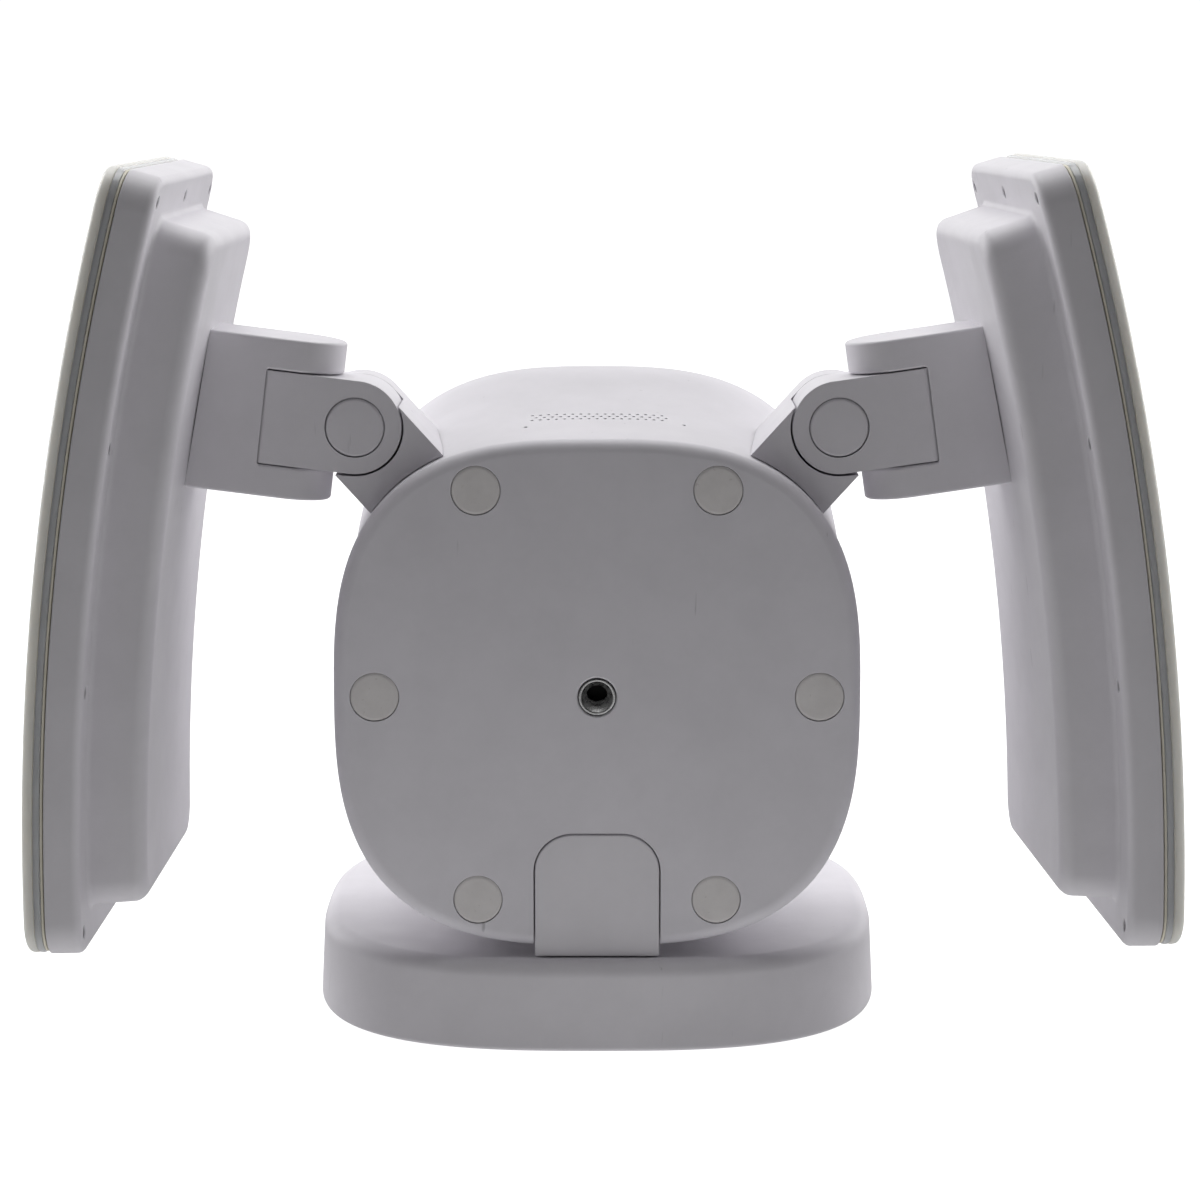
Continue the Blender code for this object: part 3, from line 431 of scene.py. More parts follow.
def facing(direction, at):
    """A matrix that turns +Z to a direction and moves the origin to a point."""
    turn = Vector((0, 0, 1)).rotation_difference(Vector(direction).normalized()).to_matrix().to_4x4()
    turn.translation = Vector(at)
    return turn


# ---------------------------------------------------------------- wall plate and neck
PLATE_HALF, PLATE_HEIGHT, PLATE_EXPONENT = 70.0 * MM, 21.5 * MM, 2.85
PLATE_SCREWS = [(-36 * MM, 40 * MM), (36 * MM, 40 * MM)]
NECK_HALF, NECK_TOP, NECK_CORNER = 14.8 * MM, 51.5 * MM, 9.0 * MM
NECK_BOTTOM = PLATE_HEIGHT + GAP


def plate_ring(inset, height):
    half = PLATE_HALF - inset
    return [(x, y, height) for x, y in superellipse(half, half, PLATE_EXPONENT)]


def make_plate():
    top_radius, draft, wall = 3.8 * MM, 0.8 * MM, 2.4 * MM
    rings = [plate_ring(wall + 0.4 * MM, PLATE_HEIGHT - wall), plate_ring(wall, 0), plate_ring(1.1 * MM, 0)]
    rings += [plate_ring(1.1 * MM - rise, inset) for inset, rise in quarter_round(1.1 * MM, 5)[1:]]
    shoulder = PLATE_HEIGHT - top_radius
    for i in range(1, 7):
        rings.append(plate_ring(draft * i / 7, 1.1 * MM + (shoulder - 1.1 * MM) * i / 7))
    rings += [plate_ring(draft + inset, shoulder + rise) for inset, rise in quarter_round(top_radius, 10)]
    plate = loft("wall_plate_skin", rings, WHITE)
    boolean(plate, rod("cut", "Z", 7 * MM, 10 * MM, 30 * MM, (0, -37 * MM), 40))
    for x, y in PLATE_SCREWS:
        boolean(plate, rod("cut", "Z", 2.4 * MM, 10 * MM, 30 * MM, (x, y), 32))
    give(plate, "base", "white_plastic", "wall_plate")
    for i, (x, y) in enumerate(PLATE_SCREWS):
        top = PLATE_HEIGHT + GAP + 2.2 * MM
        head = [(0, 0), (2.4, 0), (3.1, -0.25), (3.6, -0.95), (3.6, -2.2)]
        profile = head + [(1.8, -2.2), (1.8, -23.4), (0, -23.4)]
        screw = turned("plate_screw", mm(profile), STEEL, 40, Matrix.Translation((x, y, top)))
        for turn in (0, 90):
            slot = box("cut", (-2.0 * MM, -0.4 * MM, -1.1 * MM), (2.0 * MM, 0.4 * MM, 1 * MM))
            place(slot, Matrix.Translation((x, y, top)) @ Matrix.Rotation(radians(turn + 25), 4, "Z"))
            boolean(screw, slot)
        screw.name = f"plate_screw_{i + 1}_detailed"
        give(screw, "base", "steel", f"plate_screw_{i + 1}")


def neck_outline(grow=0.0, bottom=NECK_BOTTOM, steps=24):
    half, top, corner = NECK_HALF + grow, NECK_TOP + grow, NECK_CORNER + grow
    right = arc((half - corner, top - corner), corner, 0, 90, steps)
    left = arc((-half + corner, top - corner), corner, 90, 180, steps)
    return [(half, bottom)] + right + left + [(-half, bottom)]


def make_neck():
    neck = prism("neck_arm_skin", neck_outline(), "Y", SHIFT, SHIFT + 46 * MM, WHITE)
    rounded(neck, 0.45 * MM, 3, 50)
    boolean(neck, box("cut", (-8 * MM, -51 * MM, 15 * MM), (8 * MM, -25 * MM, 60 * MM)))
    give(neck, "base", "white_plastic", "neck_arm")


# ---------------------------------------------------------------- body
BODY_Z, BODY_HALF_X, BODY_HALF_Z, BODY_EXPONENT = 84.7 * MM, 62.2 * MM, 60.9 * MM, 2.87
SECTIONS = [  # millimetres: distance from the cover's face, half width, lowest z, highest z
    (4.3, 61.9, 24.1, 145.2), (18, 61.6, 24.1, 146.7), (32, 61.4, 24.1, 149.0), (46, 61.4, 24.1, 152.2),
    (57, 61.5, 24.1, 155.6), (63, 61.5, 24.2, 157.0), (67.0, 61.0, 24.8, 156.8), (70.0, 58.3, 27.6, 153.9),
]


def section_at(y):
    """The section at a distance from the cover's face, in a straight line between its neighbours."""
    for (y0, *low), (y1, *high) in zip(SECTIONS, SECTIONS[1:]):
        if y <= y1 or y1 == SECTIONS[-1][0]:
            t = (y - y0) / (y1 - y0)
            return (y, *[a + (b - a) * t for a, b in zip(low, high)])
    return SECTIONS[-1]


def body_ring(section, grow=0.0, count=192):
    y, half_x, low, high = (value * MM for value in section)
    middle, half_z = (low + high) / 2, (high - low) / 2
    outline = superellipse(half_x + grow, half_z + grow, BODY_EXPONENT, count)
    return [(x, SHIFT + y, middle + z) for x, z in outline]


def make_body():
    start, *size = SECTIONS[0]
    rings = [body_ring((start + y, *size), -grow * MM) for y, grow in ((0, 0.5), (0.15, 0.15), (0.5, 0))]
    for y in (8, 13, 18, 25, 32, 39, 46, 51, 54.5, 57.5, 60):
        rings.append(body_ring(section_at(y)))
    rim = 8.0
    for i in range(13):
        angle = pi / 2 * i / 12
        y = 70.0 - rim * 0.78 + rim * 0.78 * sin(angle)
        inset = 3.2 * (1 - cos(angle))
        rings.append(body_ring((y, 61.5 - inset, 24.2 + inset, 157.0 - inset)))
    rings.append(body_ring((70.0, 55.9, 30.0, 151.5)))
    rings.append(body_ring((66.4, 55.4, 30.5, 151.0)))
    rings.append(body_ring((60.0, 59.0, 26.7, 154.0)))
    for y in (50, 32, 14):
        rings.append(body_ring(section_at(y), -2.4 * MM))
    rings.append(body_ring(section_at(4.3), -2.4 * MM))
    rings.append(rings[0])
    body = loft("body_shell_skin", rings, WHITE, caps=False)
    boolean(body, prism("cut", neck_outline(GAP, 10 * MM), "Y", SHIFT - 5 * MM, SHIFT + 46.3 * MM))
    return body


def top_height(x, y):
    """Height of the body's upper wall at a place, from the same sections."""
    half_x, low, high = section_at(y)[1:]
    middle, half_z = (low + high) / 2, (high - low) / 2
    return middle + half_z * (1 - abs(x / half_x) ** BODY_EXPONENT) ** (1 / BODY_EXPONENT)


def make_grille(body):
    """Sound holes in rows, and two microphone holes beside them, all of them blind."""
    holes = []
    for row in range(3):
        for i in range(17):
            x = (i - 8 + 0.5 * (row % 2)) * 1.95
            holes.append((x, 25.0 + 2.1 * row, 0.42))
    holes += [(-17.0, 19.5, 0.5), (20.8, 22.8, 0.45)]
    pieces = []
    for x, y, radius in holes:
        z = top_height(x, y)
        at = (x * MM, SHIFT + y * MM)
        pieces.append(rod("hole", "Z", radius * MM, (z - 1.2) * MM, (z + 2) * MM, at, 12))
    boolean(body, joined("cut", pieces))
    give(body, "base", "white_plastic", "body_shell")


PLUG_RADIUS = 5.75 * MM
PLUG_PLACES = [(-28.3, 49.0), (28.3, 49.0), (-52.4, 0.0), (52.4, 0.0), (-28.3, -49.0), (28.3, -49.0)]


def make_cover():
    radius, thickness = 3.2 * MM, 4.0 * MM
    rings = []
    for inset, depth in reversed(quarter_round(radius, 9)):
        outline = superellipse(BODY_HALF_X - inset, BODY_HALF_Z - inset, BODY_EXPONENT)
        rings.append([(x, SHIFT + radius - depth, BODY_Z + z) for x, z in outline])
    for inset, y in ((0, thickness - 0.5 * MM), (0.15 * MM, thickness - 0.15 * MM), (0.5 * MM, thickness)):
        outline = superellipse(BODY_HALF_X - inset, BODY_HALF_Z - inset, BODY_EXPONENT)
        rings.append([(x, SHIFT + y, BODY_Z + z) for x, z in outline])
    cover = loft("body_cover_skin", rings, COVER_WHITE)
    boolean(cover, prism("cut", neck_outline(GAP, 10 * MM), "Y", SHIFT - 5 * MM, SHIFT + 10 * MM))
    wide, tight = PLUG_RADIUS + 0.2 * MM, PLUG_RADIUS + 0.1 * MM
    floor = -1.3 * MM
    seat = [(0, 2.0 * MM), (wide, 2.0 * MM), (wide, 0.0), (tight, -0.1 * MM), (tight, floor), (0, floor)]
    for x, z in PLUG_PLACES:
        cutter = turned("cut", seat, None, 64, facing((0, -1, 0), (x * MM, SHIFT, BODY_Z + z * MM)))
        boolean(cover, cutter)
    hole = [(0, 5), (4.95, 5), (4.95, 0.0), (4.6, -0.35), (4.6, -9), (0, -9)]
    boolean(cover, turned("cut", mm(hole), None, 64, facing((0, -1, 0), (0, SHIFT, BODY_Z))))
    give(cover, "base", "white_plastic", "body_cover")

    face = [(0, 0.02), (2.5, 0.0), (4.9, -0.02), (5.35, -0.06), (5.65, -0.22)]
    profile = face + [(5.75, -0.5), (5.75, -1.1), (0, -1.1)]
    for i, (x, z) in enumerate(PLUG_PLACES):
        at = (x * MM, SHIFT + 0.06 * MM, BODY_Z + z * MM)
        plug = turned("plug", mm(profile), SILICONE, 64, facing((0, -1, 0), at))
        plug.name = f"screw_plug_{i + 1}_detailed"
        give(plug, "base", "silicone", f"screw_plug_{i + 1}")


def make_insert():
    """A flanged metal insert with a countersunk mouth, and plain rings for its thread."""
    mouth = [(3.6, -0.3), (3.75, 0.0), (3.9, 0.1), (4.1, 0.1), (4.33, -0.05), (4.4, -0.4)]
    profile = mouth + [(4.4, -3.9), (5.6, -4.5), (5.6, -12.0)]
    thread = []
    pitch, count = 1.1, 9
    for i in range(count):
        z = -11.6 + i * pitch
        thread += [(2.5, z), (2.5, z + 0.15), (3.05, z + 0.55), (3.05, z + 0.7)]
    profile += [(2.6, -12.0)] + thread + [(2.55, -1.5)]
    matrix = facing((0, -1, 0), (0, SHIFT + 0.2 * MM, BODY_Z))
    insert = turned("threaded_insert_detailed", mm(profile), STEEL, 72, matrix)
    give(insert, "base", "steel", "threaded_insert", angle=25)
    # A near-black disc closes the bore's far end: painted shade of the blind hole.
    seat = [(0, -8.0), (2.4, -8.0), (2.4, -11.8), (0, -11.8)]
    back = turned("insert_blind_end_painted_shade", mm(seat), PAINTED_HOLE_SHADE, 48, matrix)
    give(back, "base", "steel")


# ---------------------------------------------------------------- arms
KNUCKLE_X, KNUCKLE_Z, KNUCKLE_RADIUS = 56.9 * MM, 147.5 * MM, 11.0 * MM
ARM_FRONT, ARM_MIDDLE, TONGUE_BACK, SOCKET_BACK = (SHIFT + y * MM for y in (8.0, 19.0, 27.0, 38.0))
SWIVEL_REACH, YOKE_RADIUS, YOKE_HALF = 15.5 * MM, 11.0 * MM, 18.8 * MM
POCKET_HALF, POCKET_RADIUS = 11.3 * MM, 12.5 * MM
REST = {"left": (7.0, 1.0), "right": (8.1, 2.7)}  # degrees at rest: knuckle, swivel


def knuckle_frame(side):
    out = SIDES[side]
    turn = Matrix.Rotation(radians(-out * REST[side][0]), 4, "Y")
    return Matrix.Translation((out * KNUCKLE_X, 0, KNUCKLE_Z)) @ turn


def swivel_frame(side):
    out = SIDES[side]
    move = Matrix.Translation((out * SWIVEL_REACH, ARM_MIDDLE, 0))
    return knuckle_frame(side) @ move @ Matrix.Rotation(radians(out * REST[side][1]), 4, "Z")


def socket_frame(side):
    knuckle = Vector((SIDES[side] * KNUCKLE_X, 0, KNUCKLE_Z))
    inward = (Vector((0, 0, BODY_Z)) - knuckle).normalized()
    far_way = Vector((0, 1, 0))
    matrix = Matrix((inward, far_way, inward.cross(far_way))).transposed().to_4x4()
    matrix.translation = knuckle
    return matrix


def make_sockets():
    """Both blocks: the right one, and its mirror image on the left."""
    half = KNUCKLE_RADIUS
    lean = REST["right"][0]
    place_at = socket_frame("right")
    block = box("block", (0, ARM_FRONT, -half), (24 * MM, SOCKET_BACK, half), WHITE)
    lug = rod("lug", "Y", half, TONGUE_BACK + GAP, SOCKET_BACK, (0, 0), 96)
    cup = rod("cup", "Y", half + 0.5 * MM, ARM_FRONT - 9 * MM, TONGUE_BACK + GAP - 0.002 * MM, (0, 0), 96)
    bore = rod("bore", "Y", 3.1 * MM, ARM_FRONT - 9 * MM, SOCKET_BACK + 20 * MM, (0, 0), 32)
    for piece in (block, lug, cup, bore):
        place(piece, place_at)
    clear = half + 0.5 * MM
    sweep = box("sweep", (0, ARM_FRONT - 9 * MM, -clear), (30 * MM, TONGUE_BACK + GAP, clear))
    turn = Matrix.Rotation(radians(4.0 - lean), 4, "Y")
    place(sweep, Matrix.Translation((KNUCKLE_X, 0, KNUCKLE_Z)) @ turn)
    boolean(block, lug, "UNION")
    boolean(block, cup)
    boolean(block, sweep)
    rounded(block, 0.7 * MM, 4, 32)
    boolean(block, bore)
    boolean(block, loft("cut", [body_ring(section, GAP * 0.7) for section in SECTIONS]))
    mirrored = bpy.data.objects.new("socket_block_left_skin", block.data.copy())
    WORK.objects.link(mirrored)
    place(mirrored, Matrix.Diagonal((-1, 1, 1, 1)))
    mirrored.data.flip_normals()
    block.name = "socket_block_right_skin"
    give(block, "base", "white_plastic", "socket_block_right")
    give(mirrored, "base", "white_plastic", "socket_block_left")


def make_tongue(side):
    out = SIDES[side]
    half = KNUCKLE_RADIUS
    front = ARM_FRONT + GAP
    end = POCKET_RADIUS - 0.4 * MM
    reach = out * SWIVEL_REACH
    start = -degrees(asin((ARM_MIDDLE - front) / end))
    stop = degrees(asin((TONGUE_BACK - ARM_MIDDLE) / end))
    nose = [(reach + out * a, ARM_MIDDLE + b) for a, b in arc((0, 0), end, start, stop, 24)]
    outline = [(-out * 12 * MM, front)] + nose + [(-out * 12 * MM, TONGUE_BACK)]
    tongue = prism("tongue", outline, "Z", -half, half, WHITE)
    round_end = [(out * x, z) for x, z in arc((0, 0), half, 90, 270, 40)]
    round_end += [(out * 40 * MM, -half), (out * 40 * MM, half)]
    boolean(tongue, prism("cut", round_end, "Y", front - 5 * MM, SOCKET_BACK, None), "INTERSECT")
    rounded(tongue, 1.0 * MM, 4, 40)
    boolean(tongue, rod("cut", "Y", 7.1 * MM, front - 5 * MM, front + 1.6 * MM, (0, 0), 72))
    boolean(tongue, rod("cut", "Y", 5.4 * MM, front - 5 * MM, front + 5 * MM, (0, 0), 48))
    boolean(tongue, rod("cut", "Y", 3.1 * MM, front - 5 * MM, SOCKET_BACK + 5 * MM, (0, 0), 32))
    boolean(tongue, rod("cut", "Z", 3.25 * MM, -30 * MM, 30 * MM, (reach, ARM_MIDDLE), 32))
    place(tongue, knuckle_frame(side))
    tongue.name = f"arm_tongue_{side}_skin"
    give(tongue, f"arm_{side}", "white_plastic", f"arm_tongue_{side}")
    face = [(0, 0), (3, 0), (6.2, -0.02), (6.6, -0.12), (6.82, -0.35)]
    profile = face + [(6.85, -0.7), (6.85, -1.2), (0, -1.2)]
    matrix = knuckle_frame(side) @ facing((0, -1, 0), (0, front + 0.08 * MM, 0))
    cap = turned("cap", mm(profile), WHITE, 72, matrix)
    cap.name = f"knuckle_cap_{side}_detailed"
    give(cap, f"arm_{side}", "white_plastic", f"knuckle_cap_{side}")


HEAD_BOW, HEAD_BACK, HEAD_RIM = 600.0 * MM, 22.8 * MM, 36.6 * MM
HEAD_HALF_Y, HEAD_HALF_L, HEAD_MIDDLE, HEAD_CORNER = 48.5 * MM, 88.0 * MM, -35.8 * MM, 8.5 * MM


def bow_depth(length, depth):
    radius = HEAD_BOW + depth - HEAD_BACK
    return depth - radius + sqrt(radius ** 2 - (length - HEAD_MIDDLE) ** 2)


def make_yoke(side):
    out = SIDES[side]
    outline = [(out * x, y) for x, y in arc((0, 0), YOKE_RADIUS, 90, 270, 40)]
    outline += [(out * 26 * MM, -YOKE_RADIUS), (out * 26 * MM, YOKE_RADIUS)]
    yoke = prism("yoke", outline, "Z", -YOKE_HALF, YOKE_HALF, WHITE)
    pocket = [(out * x, y) for x, y in arc((0, 0), POCKET_RADIUS, -90, 90, 40)]
    pocket += [(-out * 30 * MM, POCKET_RADIUS), (-out * 30 * MM, -POCKET_RADIUS)]
    boolean(yoke, prism("cut", pocket, "Z", -POCKET_HALF, POCKET_HALF))
    rounded(yoke, 0.9 * MM, 4, 40)
    long = 30 * MM
    middle = bow_depth(0, HEAD_BACK) - 0.9 * GAP
    slope = (bow_depth(YOKE_HALF, HEAD_BACK) - bow_depth(-YOKE_HALF, HEAD_BACK)) / (2 * YOKE_HALF)
    trim = [(out * (middle + slope * long), long), (out * (middle - slope * long), -long),
            (out * 2 * long, -long), (out * 2 * long, long)]
    boolean(yoke, prism("cut", trim, "Y", -20 * MM, 20 * MM))
    boolean(yoke, rod("cut", "Z", 3.25 * MM, -16.9 * MM, 16.9 * MM, (0, 0), 32))
    place(yoke, swivel_frame(side))
    yoke.name = f"yoke_{side}_skin"
    give(yoke, f"head_{side}", "white_plastic", f"yoke_{side}")


# ---------------------------------------------------------------- light heads
def half_outline(inset, corner_steps=8, steps=40):
    half_y, half_l = HEAD_HALF_Y - inset, HEAD_HALF_L - inset
    corner = max(HEAD_CORNER - inset, 1.5 * MM) if inset < 5 * MM else 6.5 * MM
    points = arc((half_y - corner, half_l - corner), corner, 90, 0, corner_steps)
    side = half_l - corner
    points += [(half_y, side - 2 * side * i / steps) for i in range(1, steps)]
    points += arc((half_y - corner, -half_l + corner), corner, 0, -90, corner_steps)
    return points


def bowed(y, length, depth, out):
    radius = HEAD_BOW + depth - HEAD_BACK
    angle = length / HEAD_BOW
    return Vector((out * (HEAD_BACK - HEAD_BOW + radius * cos(angle)), y, HEAD_MIDDLE + radius * sin(angle)))


def bowed_solid(name, profile, out, finish):
    """A tray or slab from (inset, depth) pairs in millimetres, closed across by strips."""
    bm = bmesh.new()
    rings = []
    for inset, depth in profile:
        half = half_outline(inset * MM)
        right = [bm.verts.new(bowed(y, s, depth * MM, out)) for y, s in half]
        left = [bm.verts.new(bowed(-y, s, depth * MM, out)) for y, s in half]
        rings.append((right, left))
    for (right, left), (next_right, next_left) in zip(rings, rings[1:]):
        loop, following = right + left[::-1], next_right + next_left[::-1]
        for i in range(len(loop)):
            j = (i + 1) % len(loop)
            bm.faces.new((loop[i], loop[j], following[j], following[i]))
    for right, left in (rings[0], rings[-1]):
        for i in range(len(right) - 1):
            bm.faces.new((right[i], right[i + 1], left[i + 1], left[i]))
    return add_object(name, bm, finish)


def rim_screw_places():
    lengths = (-82.5, -27.5, 27.5, 82.5)
    places = [(y * 43.6 * MM, s) for y in (-1, 1) for s in lengths]
    return places + [(0.0, lengths[0]), (0.0, lengths[-1])]


def housing_profile():
    """The housing's wall from its inside round the open edge and the rim to the raised box behind."""
    rim, back, shelf, inner = 36.6, 22.8, 38.6, 11.7
    profile = [
        (inner + 1.2, back + 2.2), (inner, back + 3.4), (inner, shelf), (2.2, shelf), (2.2, 44.6),
        (2.0, 44.8), (0.5, 44.8), (0.15, 44.65), (0.0, 44.3), (0.0, 41.5), (0.0, rim + 2.0),
    ]
    for angle in range(15, 91, 15):
        a = radians(angle)
        profile.append((1.9 * (1 - cos(a)), rim + 1.9 * (1 - sin(a))))
    root = 9.5
    profile.append((root - 1.6, rim))
    for angle in range(15, 91, 15):
        a = radians(angle)
        profile.append((root - 1.4 + 1.4 * sin(a), rim - 1.4 * (1 - cos(a))))
    edge = 3.6
    profile.append((root + 0.45, back + edge))
    for angle in range(10, 91, 10):
        a = radians(angle)
        profile.append((root + 0.45 + edge * (1 - cos(a)), back + edge * (1 - sin(a))))
    return profile


def make_light_head(side):
    out = SIDES[side]
    frame_at = swivel_frame(side)
    housing = bowed_solid("housing", housing_profile(), out, WHITE)
    cutters, screws = [], []
    for y, s in rim_screw_places():
        at = bowed(y, s * MM, HEAD_RIM, out)
        inward = Vector((-out * cos(s * MM / HEAD_BOW), 0, -sin(s * MM / HEAD_BOW)))
        matrix = facing(inward, at)
        seat = [(0, 1.5), (1.75, 1.5), (1.75, 0.0), (1.5, -0.2), (1.5, -1.6), (0, -1.6)]
        cutters.append(turned("seat", mm(seat), None, 24, matrix))
        socket = [(0, -1.05), (0.42, -1.0), (0.52, -0.55)]
        head = [(1.0, -0.5), (1.28, -0.65), (1.35, -1.0), (1.35, -1.5), (0, -1.5)]
        screws.append(turned("screw", mm(socket + head), DARK_STEEL, 24, matrix))
    boolean(housing, joined("cut", cutters))
    place(housing, frame_at)
    housing.name = f"light_housing_{side}_skin"
    give(housing, f"head_{side}", "white_plastic", f"light_housing_{side}")
    screws = joined(f"rim_screws_{side}", screws)
    place(screws, frame_at)
    give(screws, f"head_{side}", "steel")

    seal = [(6.0, 45.0), (0.8, 45.0), (0.6, 45.1), (0.6, 45.55), (6.0, 45.55)]
    band = [(6.0, 45.6), (0.8, 45.6), (0.45, 45.8), (0.35, 46.2), (0.35, 46.9), (0.5, 47.2), (6.0, 47.2)]
    lens = [(6.0, 47.25), (0.7, 47.25), (0.4, 47.45), (0.35, 47.8), (0.35, 48.2)]
    for angle in range(15, 91, 15):
        a = radians(angle)
        lens.append((0.35 + 1.75 * (1 - cos(a)), 48.2 + 1.75 * sin(a)))
    for name, profile, finish, nodes in (
        ("diffuser_seal_line", seal, SEAL_LINE, ()),
        ("diffuser_clear_band", band, CLEAR_BAND, ()),
        ("light_diffuser", lens, DIFFUSER, (f"light_diffuser_{side}",)),
    ):
        piece = bowed_solid("slab", profile, out, finish)
        place(piece, frame_at)
        piece.name = f"{name}_{side}_skin"
        give(piece, f"head_{side}", "diffuser", *nodes)


# ---------------------------------------------------------------- camera head
PAN_Z, BALL_Y, BALL_RADIUS, BALL_FLAT = 90.5 * MM, 44.0 * MM, 33.0 * MM, 23.0 * MM
BUTTON_Z = 143.5 * MM


def ball_arc(radius, start, end, step=3):
    count = max(1, round(abs(end - start) / step))
    angles = [radians(start + (end - start) * i / count) for i in range(count + 1)]
    return [(radius * sin(a), radius * cos(a)) for a in angles]


def make_far_side():
    opening = body_ring((66.8, 58.0, 27.6, 153.9), -2.6 * MM)
    outline = [(x, z) for x, _, z in opening]
    plate = prism("far_cover_skin", outline, "Y", SHIFT + 66.8 * MM, SHIFT + 69.6 * MM, WHITE)
    rounded(plate, 0.4 * MM, 3, 50)
    boolean(plate, rod("cut", "Y", 42.4 * MM, 0, 20 * MM, (0, PAN_Z), 128))
    boolean(plate, rod("cut", "Y", 3.4 * MM, 0, 20 * MM, (0, BUTTON_Z), 40))
    return plate


def make_turntable():
    low, high = SHIFT + 67.0 * MM, SHIFT + 73.5 * MM
    radius, edge = 42.0 * MM, 1.2 * MM
    corner = arc((radius - edge, high - low - edge), edge, 0, 90, 6)
    profile = [(0, 0), (radius, 0)] + corner + [(0, high - low)]
    to_far = facing((0, 1, 0), (0, low, PAN_Z))
    disc = turned("disc", profile, WHITE, 128, to_far)
    hub = rod("hub", "Y", 12 * MM, SHIFT + 56.6 * MM, SHIFT + 68 * MM, (0, PAN_Z), 64)
    boolean(disc, hub, "UNION")
    for out in SIDES.values():
        ear = arc((BALL_Y, PAN_Z), 11 * MM, -90, 90, 36)
        ear += [(SHIFT + 71 * MM, PAN_Z + 13 * MM), (SHIFT + 71 * MM, PAN_Z - 13 * MM)]
        start, end = sorted((out * 33.9 * MM, out * 38.6 * MM))
        fork = prism("fork", ear, "X", start, end, WHITE)
        rounded(fork, 1.0 * MM, 4, 40)
        boolean(disc, fork, "UNION")
    boolean(disc, rod("cut", "X", 4.0 * MM, -50 * MM, 50 * MM, (BALL_Y, PAN_Z), 48))
    boolean(disc, rod("cut", "Y", 5 * MM, SHIFT + 50 * MM, SHIFT + 80 * MM, (0, PAN_Z), 40))
    disc.name = "pan_turntable_skin"
    give(disc, "pan_head", "white_plastic", "pan_turntable")


def make_ball():
    look = facing((0, 1, 1), (0, BALL_Y, PAN_Z))
    outer, inner = BALL_RADIUS, BALL_RADIUS - 2.2 * MM
    rear_profile = [(0, -inner)] + ball_arc(inner, 177, 90) + ball_arc(outer, 90, 177) + [(0, -outer)]
    rear = turned("camera_rear_shell_skin", rear_profile, WHITE, 128, look)
    rim = sqrt(outer ** 2 - BALL_FLAT ** 2)
    seam = 0.35 * MM
    window = 20.0 * MM
    edge = degrees(asin(rim / outer))
    profile = [(window, BALL_FLAT - 2.4 * MM), (window, BALL_FLAT - 0.3 * MM), (window + 0.3 * MM, BALL_FLAT)]
    profile += [(rim - 1.2 * MM, BALL_FLAT), (rim - 0.5 * MM, BALL_FLAT - 0.12 * MM)]
    profile += ball_arc(outer, edge + 1.5, 89.3) + [(outer - 0.2 * MM, seam), (inner, seam)]
    profile += ball_arc(inner, 88, 48)
    front = turned("camera_front_shell_skin", profile, WHITE, 128, look)
    for shell, node in ((rear, "camera_rear_shell"), (front, "camera_front_shell")):
        boolean(shell, rod("cut", "X", 4.0 * MM, -50 * MM, 50 * MM, (BALL_Y, PAN_Z), 48))
        give(shell, "camera", "white_plastic", node)
    glass = [(0, 22.85), (12, 22.85), (18.2, 22.75), (19.3, 22.5), (19.7, 22.0), (19.7, 20.6), (0, 20.6)]
    pane = turned("lens_window_detailed", mm(glass), GLASS, 96, look)
    give(pane, "camera", "lens_glass", "lens_window")
    profile = [(0, 40.2), (2.6, 40.2), (3.4, 39.95), (3.7, 39.5), (3.7, 27.5), (0, 27.5)]
    for side, out in SIDES.items():
        pin = turned("pin", mm(profile), DARK, 48, facing((out, 0, 0), (0, BALL_Y, PAN_Z)))
        pin.name = f"tilt_pin_{side}_detailed"
        give(pin, "camera", "dark_plastic", f"tilt_pin_{side}")


def make_button():
    face = [(0, 0.0), (1.6, -0.02), (2.5, -0.12), (2.9, -0.35), (3.1, -0.8)]
    profile = face + [(3.1, -4.2), (4.4, -4.2), (4.4, -5.4), (0, -5.4)]
    at = (0, SHIFT + 70.6 * MM, BUTTON_Z)
    button = turned("setup_button_detailed", mm(profile), SILICONE, 56, facing((0, 1, 0), at))
    give(button, "button", "silicone", "setup_button")


# ---------------------------------------------------------------- carried-over CAD nodes
FINISHES = {
    "rubber": RUBBER, "steel": STEEL, "dark_plastic": DARK, "circuit_board": BOARD,
    "light_board": LIGHT_BOARD, "aluminium": ALUMINIUM, "brass": BRASS, "lens_glass": GLASS,
    "white_plastic": WHITE, "silicone": SILICONE, "diffuser": DIFFUSER,
}


def finish_cad_nodes():
    slots = {entry["node"]: entry["material_slot"] for entry in frame["record"]["subparts"]}
    for name, node in frame["nodes"].items():
        node.data.materials.clear()
        node.data.materials.append(FINISHES[slots[name]])


# ---------------------------------------------------------------- floor, light and camera
SKY_BEHIND, SKY_SIDES = 0.95, 0.12
SEEN_WHITE = {"floor": 1.0, "sky": 1.05}  # what the camera itself sees of the surroundings
FLOOR_POOL = 0.66
REAR_SOFTBOX, OVERHEAD_SOFTBOX = 5.0, 6.0  # watts
LENS = 99.45  # millimetres, on a 36 mm sensor
POOL_MIDDLE = (0, -0.16, 0)
POOL_RADIUS = 0.27


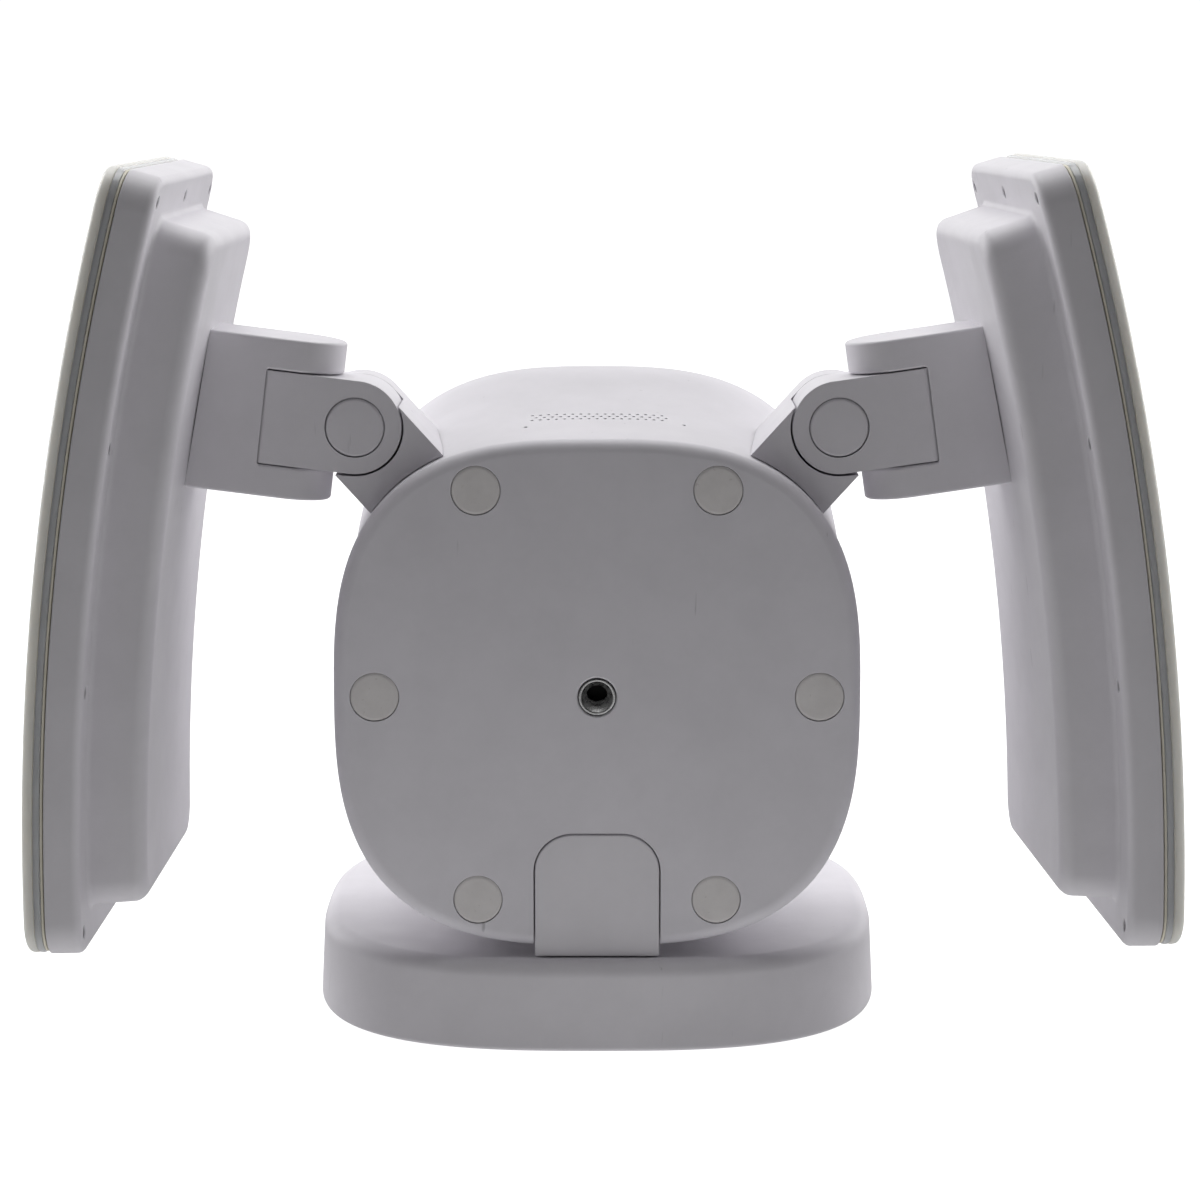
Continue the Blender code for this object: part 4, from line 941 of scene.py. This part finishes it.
def make_stage():
    """A floor that shows white to the camera, with a pool of light round the object."""
    bm = bmesh.new()
    bmesh.ops.create_grid(bm, x_segments=1, y_segments=1, size=6.0)
    bmesh.ops.translate(bm, vec=(0, 0, -0.0005), verts=bm.verts)
    floor = add_object("floor", bm)
    made, tree, shader = new_material("pale_floor")
    pale = ramp(tree, noise(tree, 3, 3), 0.3, 0.7, (0.44, 0.44, 0.44), (0.46, 0.46, 0.46))
    tree.links.new(pale, shader.inputs["Base Color"])
    shader.inputs["Roughness"].default_value = 0.85
    shader.inputs["Specular IOR Level"].default_value = 0.1
    shader.inputs["Emission Color"].default_value = (1, 1, 1, 1)
    spot = tree.nodes.new("ShaderNodeTexCoord")
    offset = tree.nodes.new("ShaderNodeVectorMath")
    offset.operation = "DISTANCE"
    offset.inputs[1].default_value = POOL_MIDDLE
    tree.links.new(spot.outputs["Object"], offset.inputs[0])
    near = tree.nodes.new("ShaderNodeMapRange")
    near.interpolation_type = "SMOOTHSTEP"
    near.inputs["From Max"].default_value = POOL_RADIUS
    near.inputs["To Min"].default_value = FLOOR_POOL
    near.inputs["To Max"].default_value = 0.0
    tree.links.new(offset.outputs["Value"], near.inputs["Value"])
    path = tree.nodes.new("ShaderNodeLightPath")
    seen = path.outputs["Is Camera Ray"]
    pool = number(tree, "MULTIPLY", near.outputs["Result"], number(tree, "SUBTRACT", 1.0, seen))
    shown = number(tree, "MULTIPLY_ADD", seen, SEEN_WHITE["floor"], pool)
    tree.links.new(shown, shader.inputs["Emission Strength"])
    floor.data.materials.append(made)


def make_world():
    """A soft tent of light, bright behind the object and dim at its sides. The camera sees it white."""
    world = bpy.data.worlds.new("studio")
    world.use_nodes = True
    bpy.context.scene.world = world
    tree = world.node_tree
    tree.nodes.clear()
    direction = tree.nodes.new("ShaderNodeTexCoord")
    parts = tree.nodes.new("ShaderNodeSeparateXYZ")
    tree.links.new(direction.outputs["Generated"], parts.inputs[0])
    x, y = parts.outputs["X"], parts.outputs["Y"]
    behind = number(tree, "MINIMUM", number(tree, "MULTIPLY_ADD", y, 3.0, 0.15), 1.0)
    behind = number(tree, "MULTIPLY", number(tree, "MAXIMUM", behind, 0.0), SKY_BEHIND)
    sides = number(tree, "MULTIPLY", number(tree, "MULTIPLY", x, x), SKY_SIDES)
    total = number(tree, "ADD", behind, sides)
    path = tree.nodes.new("ShaderNodeLightPath")
    seen = path.outputs["Is Camera Ray"]
    hidden = number(tree, "MULTIPLY", total, number(tree, "SUBTRACT", 1.0, seen))
    background = tree.nodes.new("ShaderNodeBackground")
    background.inputs["Color"].default_value = (1, 1, 1, 1)
    shown = number(tree, "MULTIPLY_ADD", seen, SEEN_WHITE["sky"], hidden)
    tree.links.new(shown, background.inputs["Strength"])
    output = tree.nodes.new("ShaderNodeOutputWorld")
    tree.links.new(background.outputs[0], output.inputs["Surface"])


def add_light(name, at, toward, size, power):
    light = bpy.data.lights.new(name, "AREA")
    light.shape = "RECTANGLE"
    light.size, light.size_y = size
    light.energy = power
    obj = bpy.data.objects.new(name, light)
    direction = Vector(toward) - Vector(at)
    obj.rotation_euler = direction.to_track_quat("-Z", "Y").to_euler()
    obj.location = at
    bpy.context.scene.collection.objects.link(obj)


def make_camera():
    data = bpy.data.cameras.new("camera")
    data.sensor_width = 36.0
    data.lens = LENS
    data.clip_start, data.clip_end = 0.01, 50.0
    camera = bpy.data.objects.new("photo_camera", data)
    camera.location = (0.7 * MM, -766.35 * MM + SHIFT, 232.0 * MM)
    camera.rotation_euler = (radians(80.8), 0, 0)
    bpy.context.scene.collection.objects.link(camera)
    bpy.context.scene.camera = camera


finish_cad_nodes()
make_plate()
make_neck()
make_grille(make_body())
make_cover()
make_insert()
make_sockets()
for side_name in SIDES:
    make_tongue(side_name)
    make_yoke(side_name)
    make_light_head(side_name)
give(make_far_side(), "base", "white_plastic", "far_cover")
make_turntable()
make_ball()
make_button()
make_stage()
make_world()
add_light("overhead_softbox", (0, 0.12, 1.2), (0, 0, 0.1), (1.0, 0.8), OVERHEAD_SOFTBOX)
for side, out in SIDES.items():
    add_light(f"{side}_rear_softbox", (out * 0.95, 0.5, 0.5), (0, 0, 0.12), (0.8, 0.8), REAR_SOFTBOX)
make_camera()

bpy.context.scene.view_settings.view_transform = "Standard"
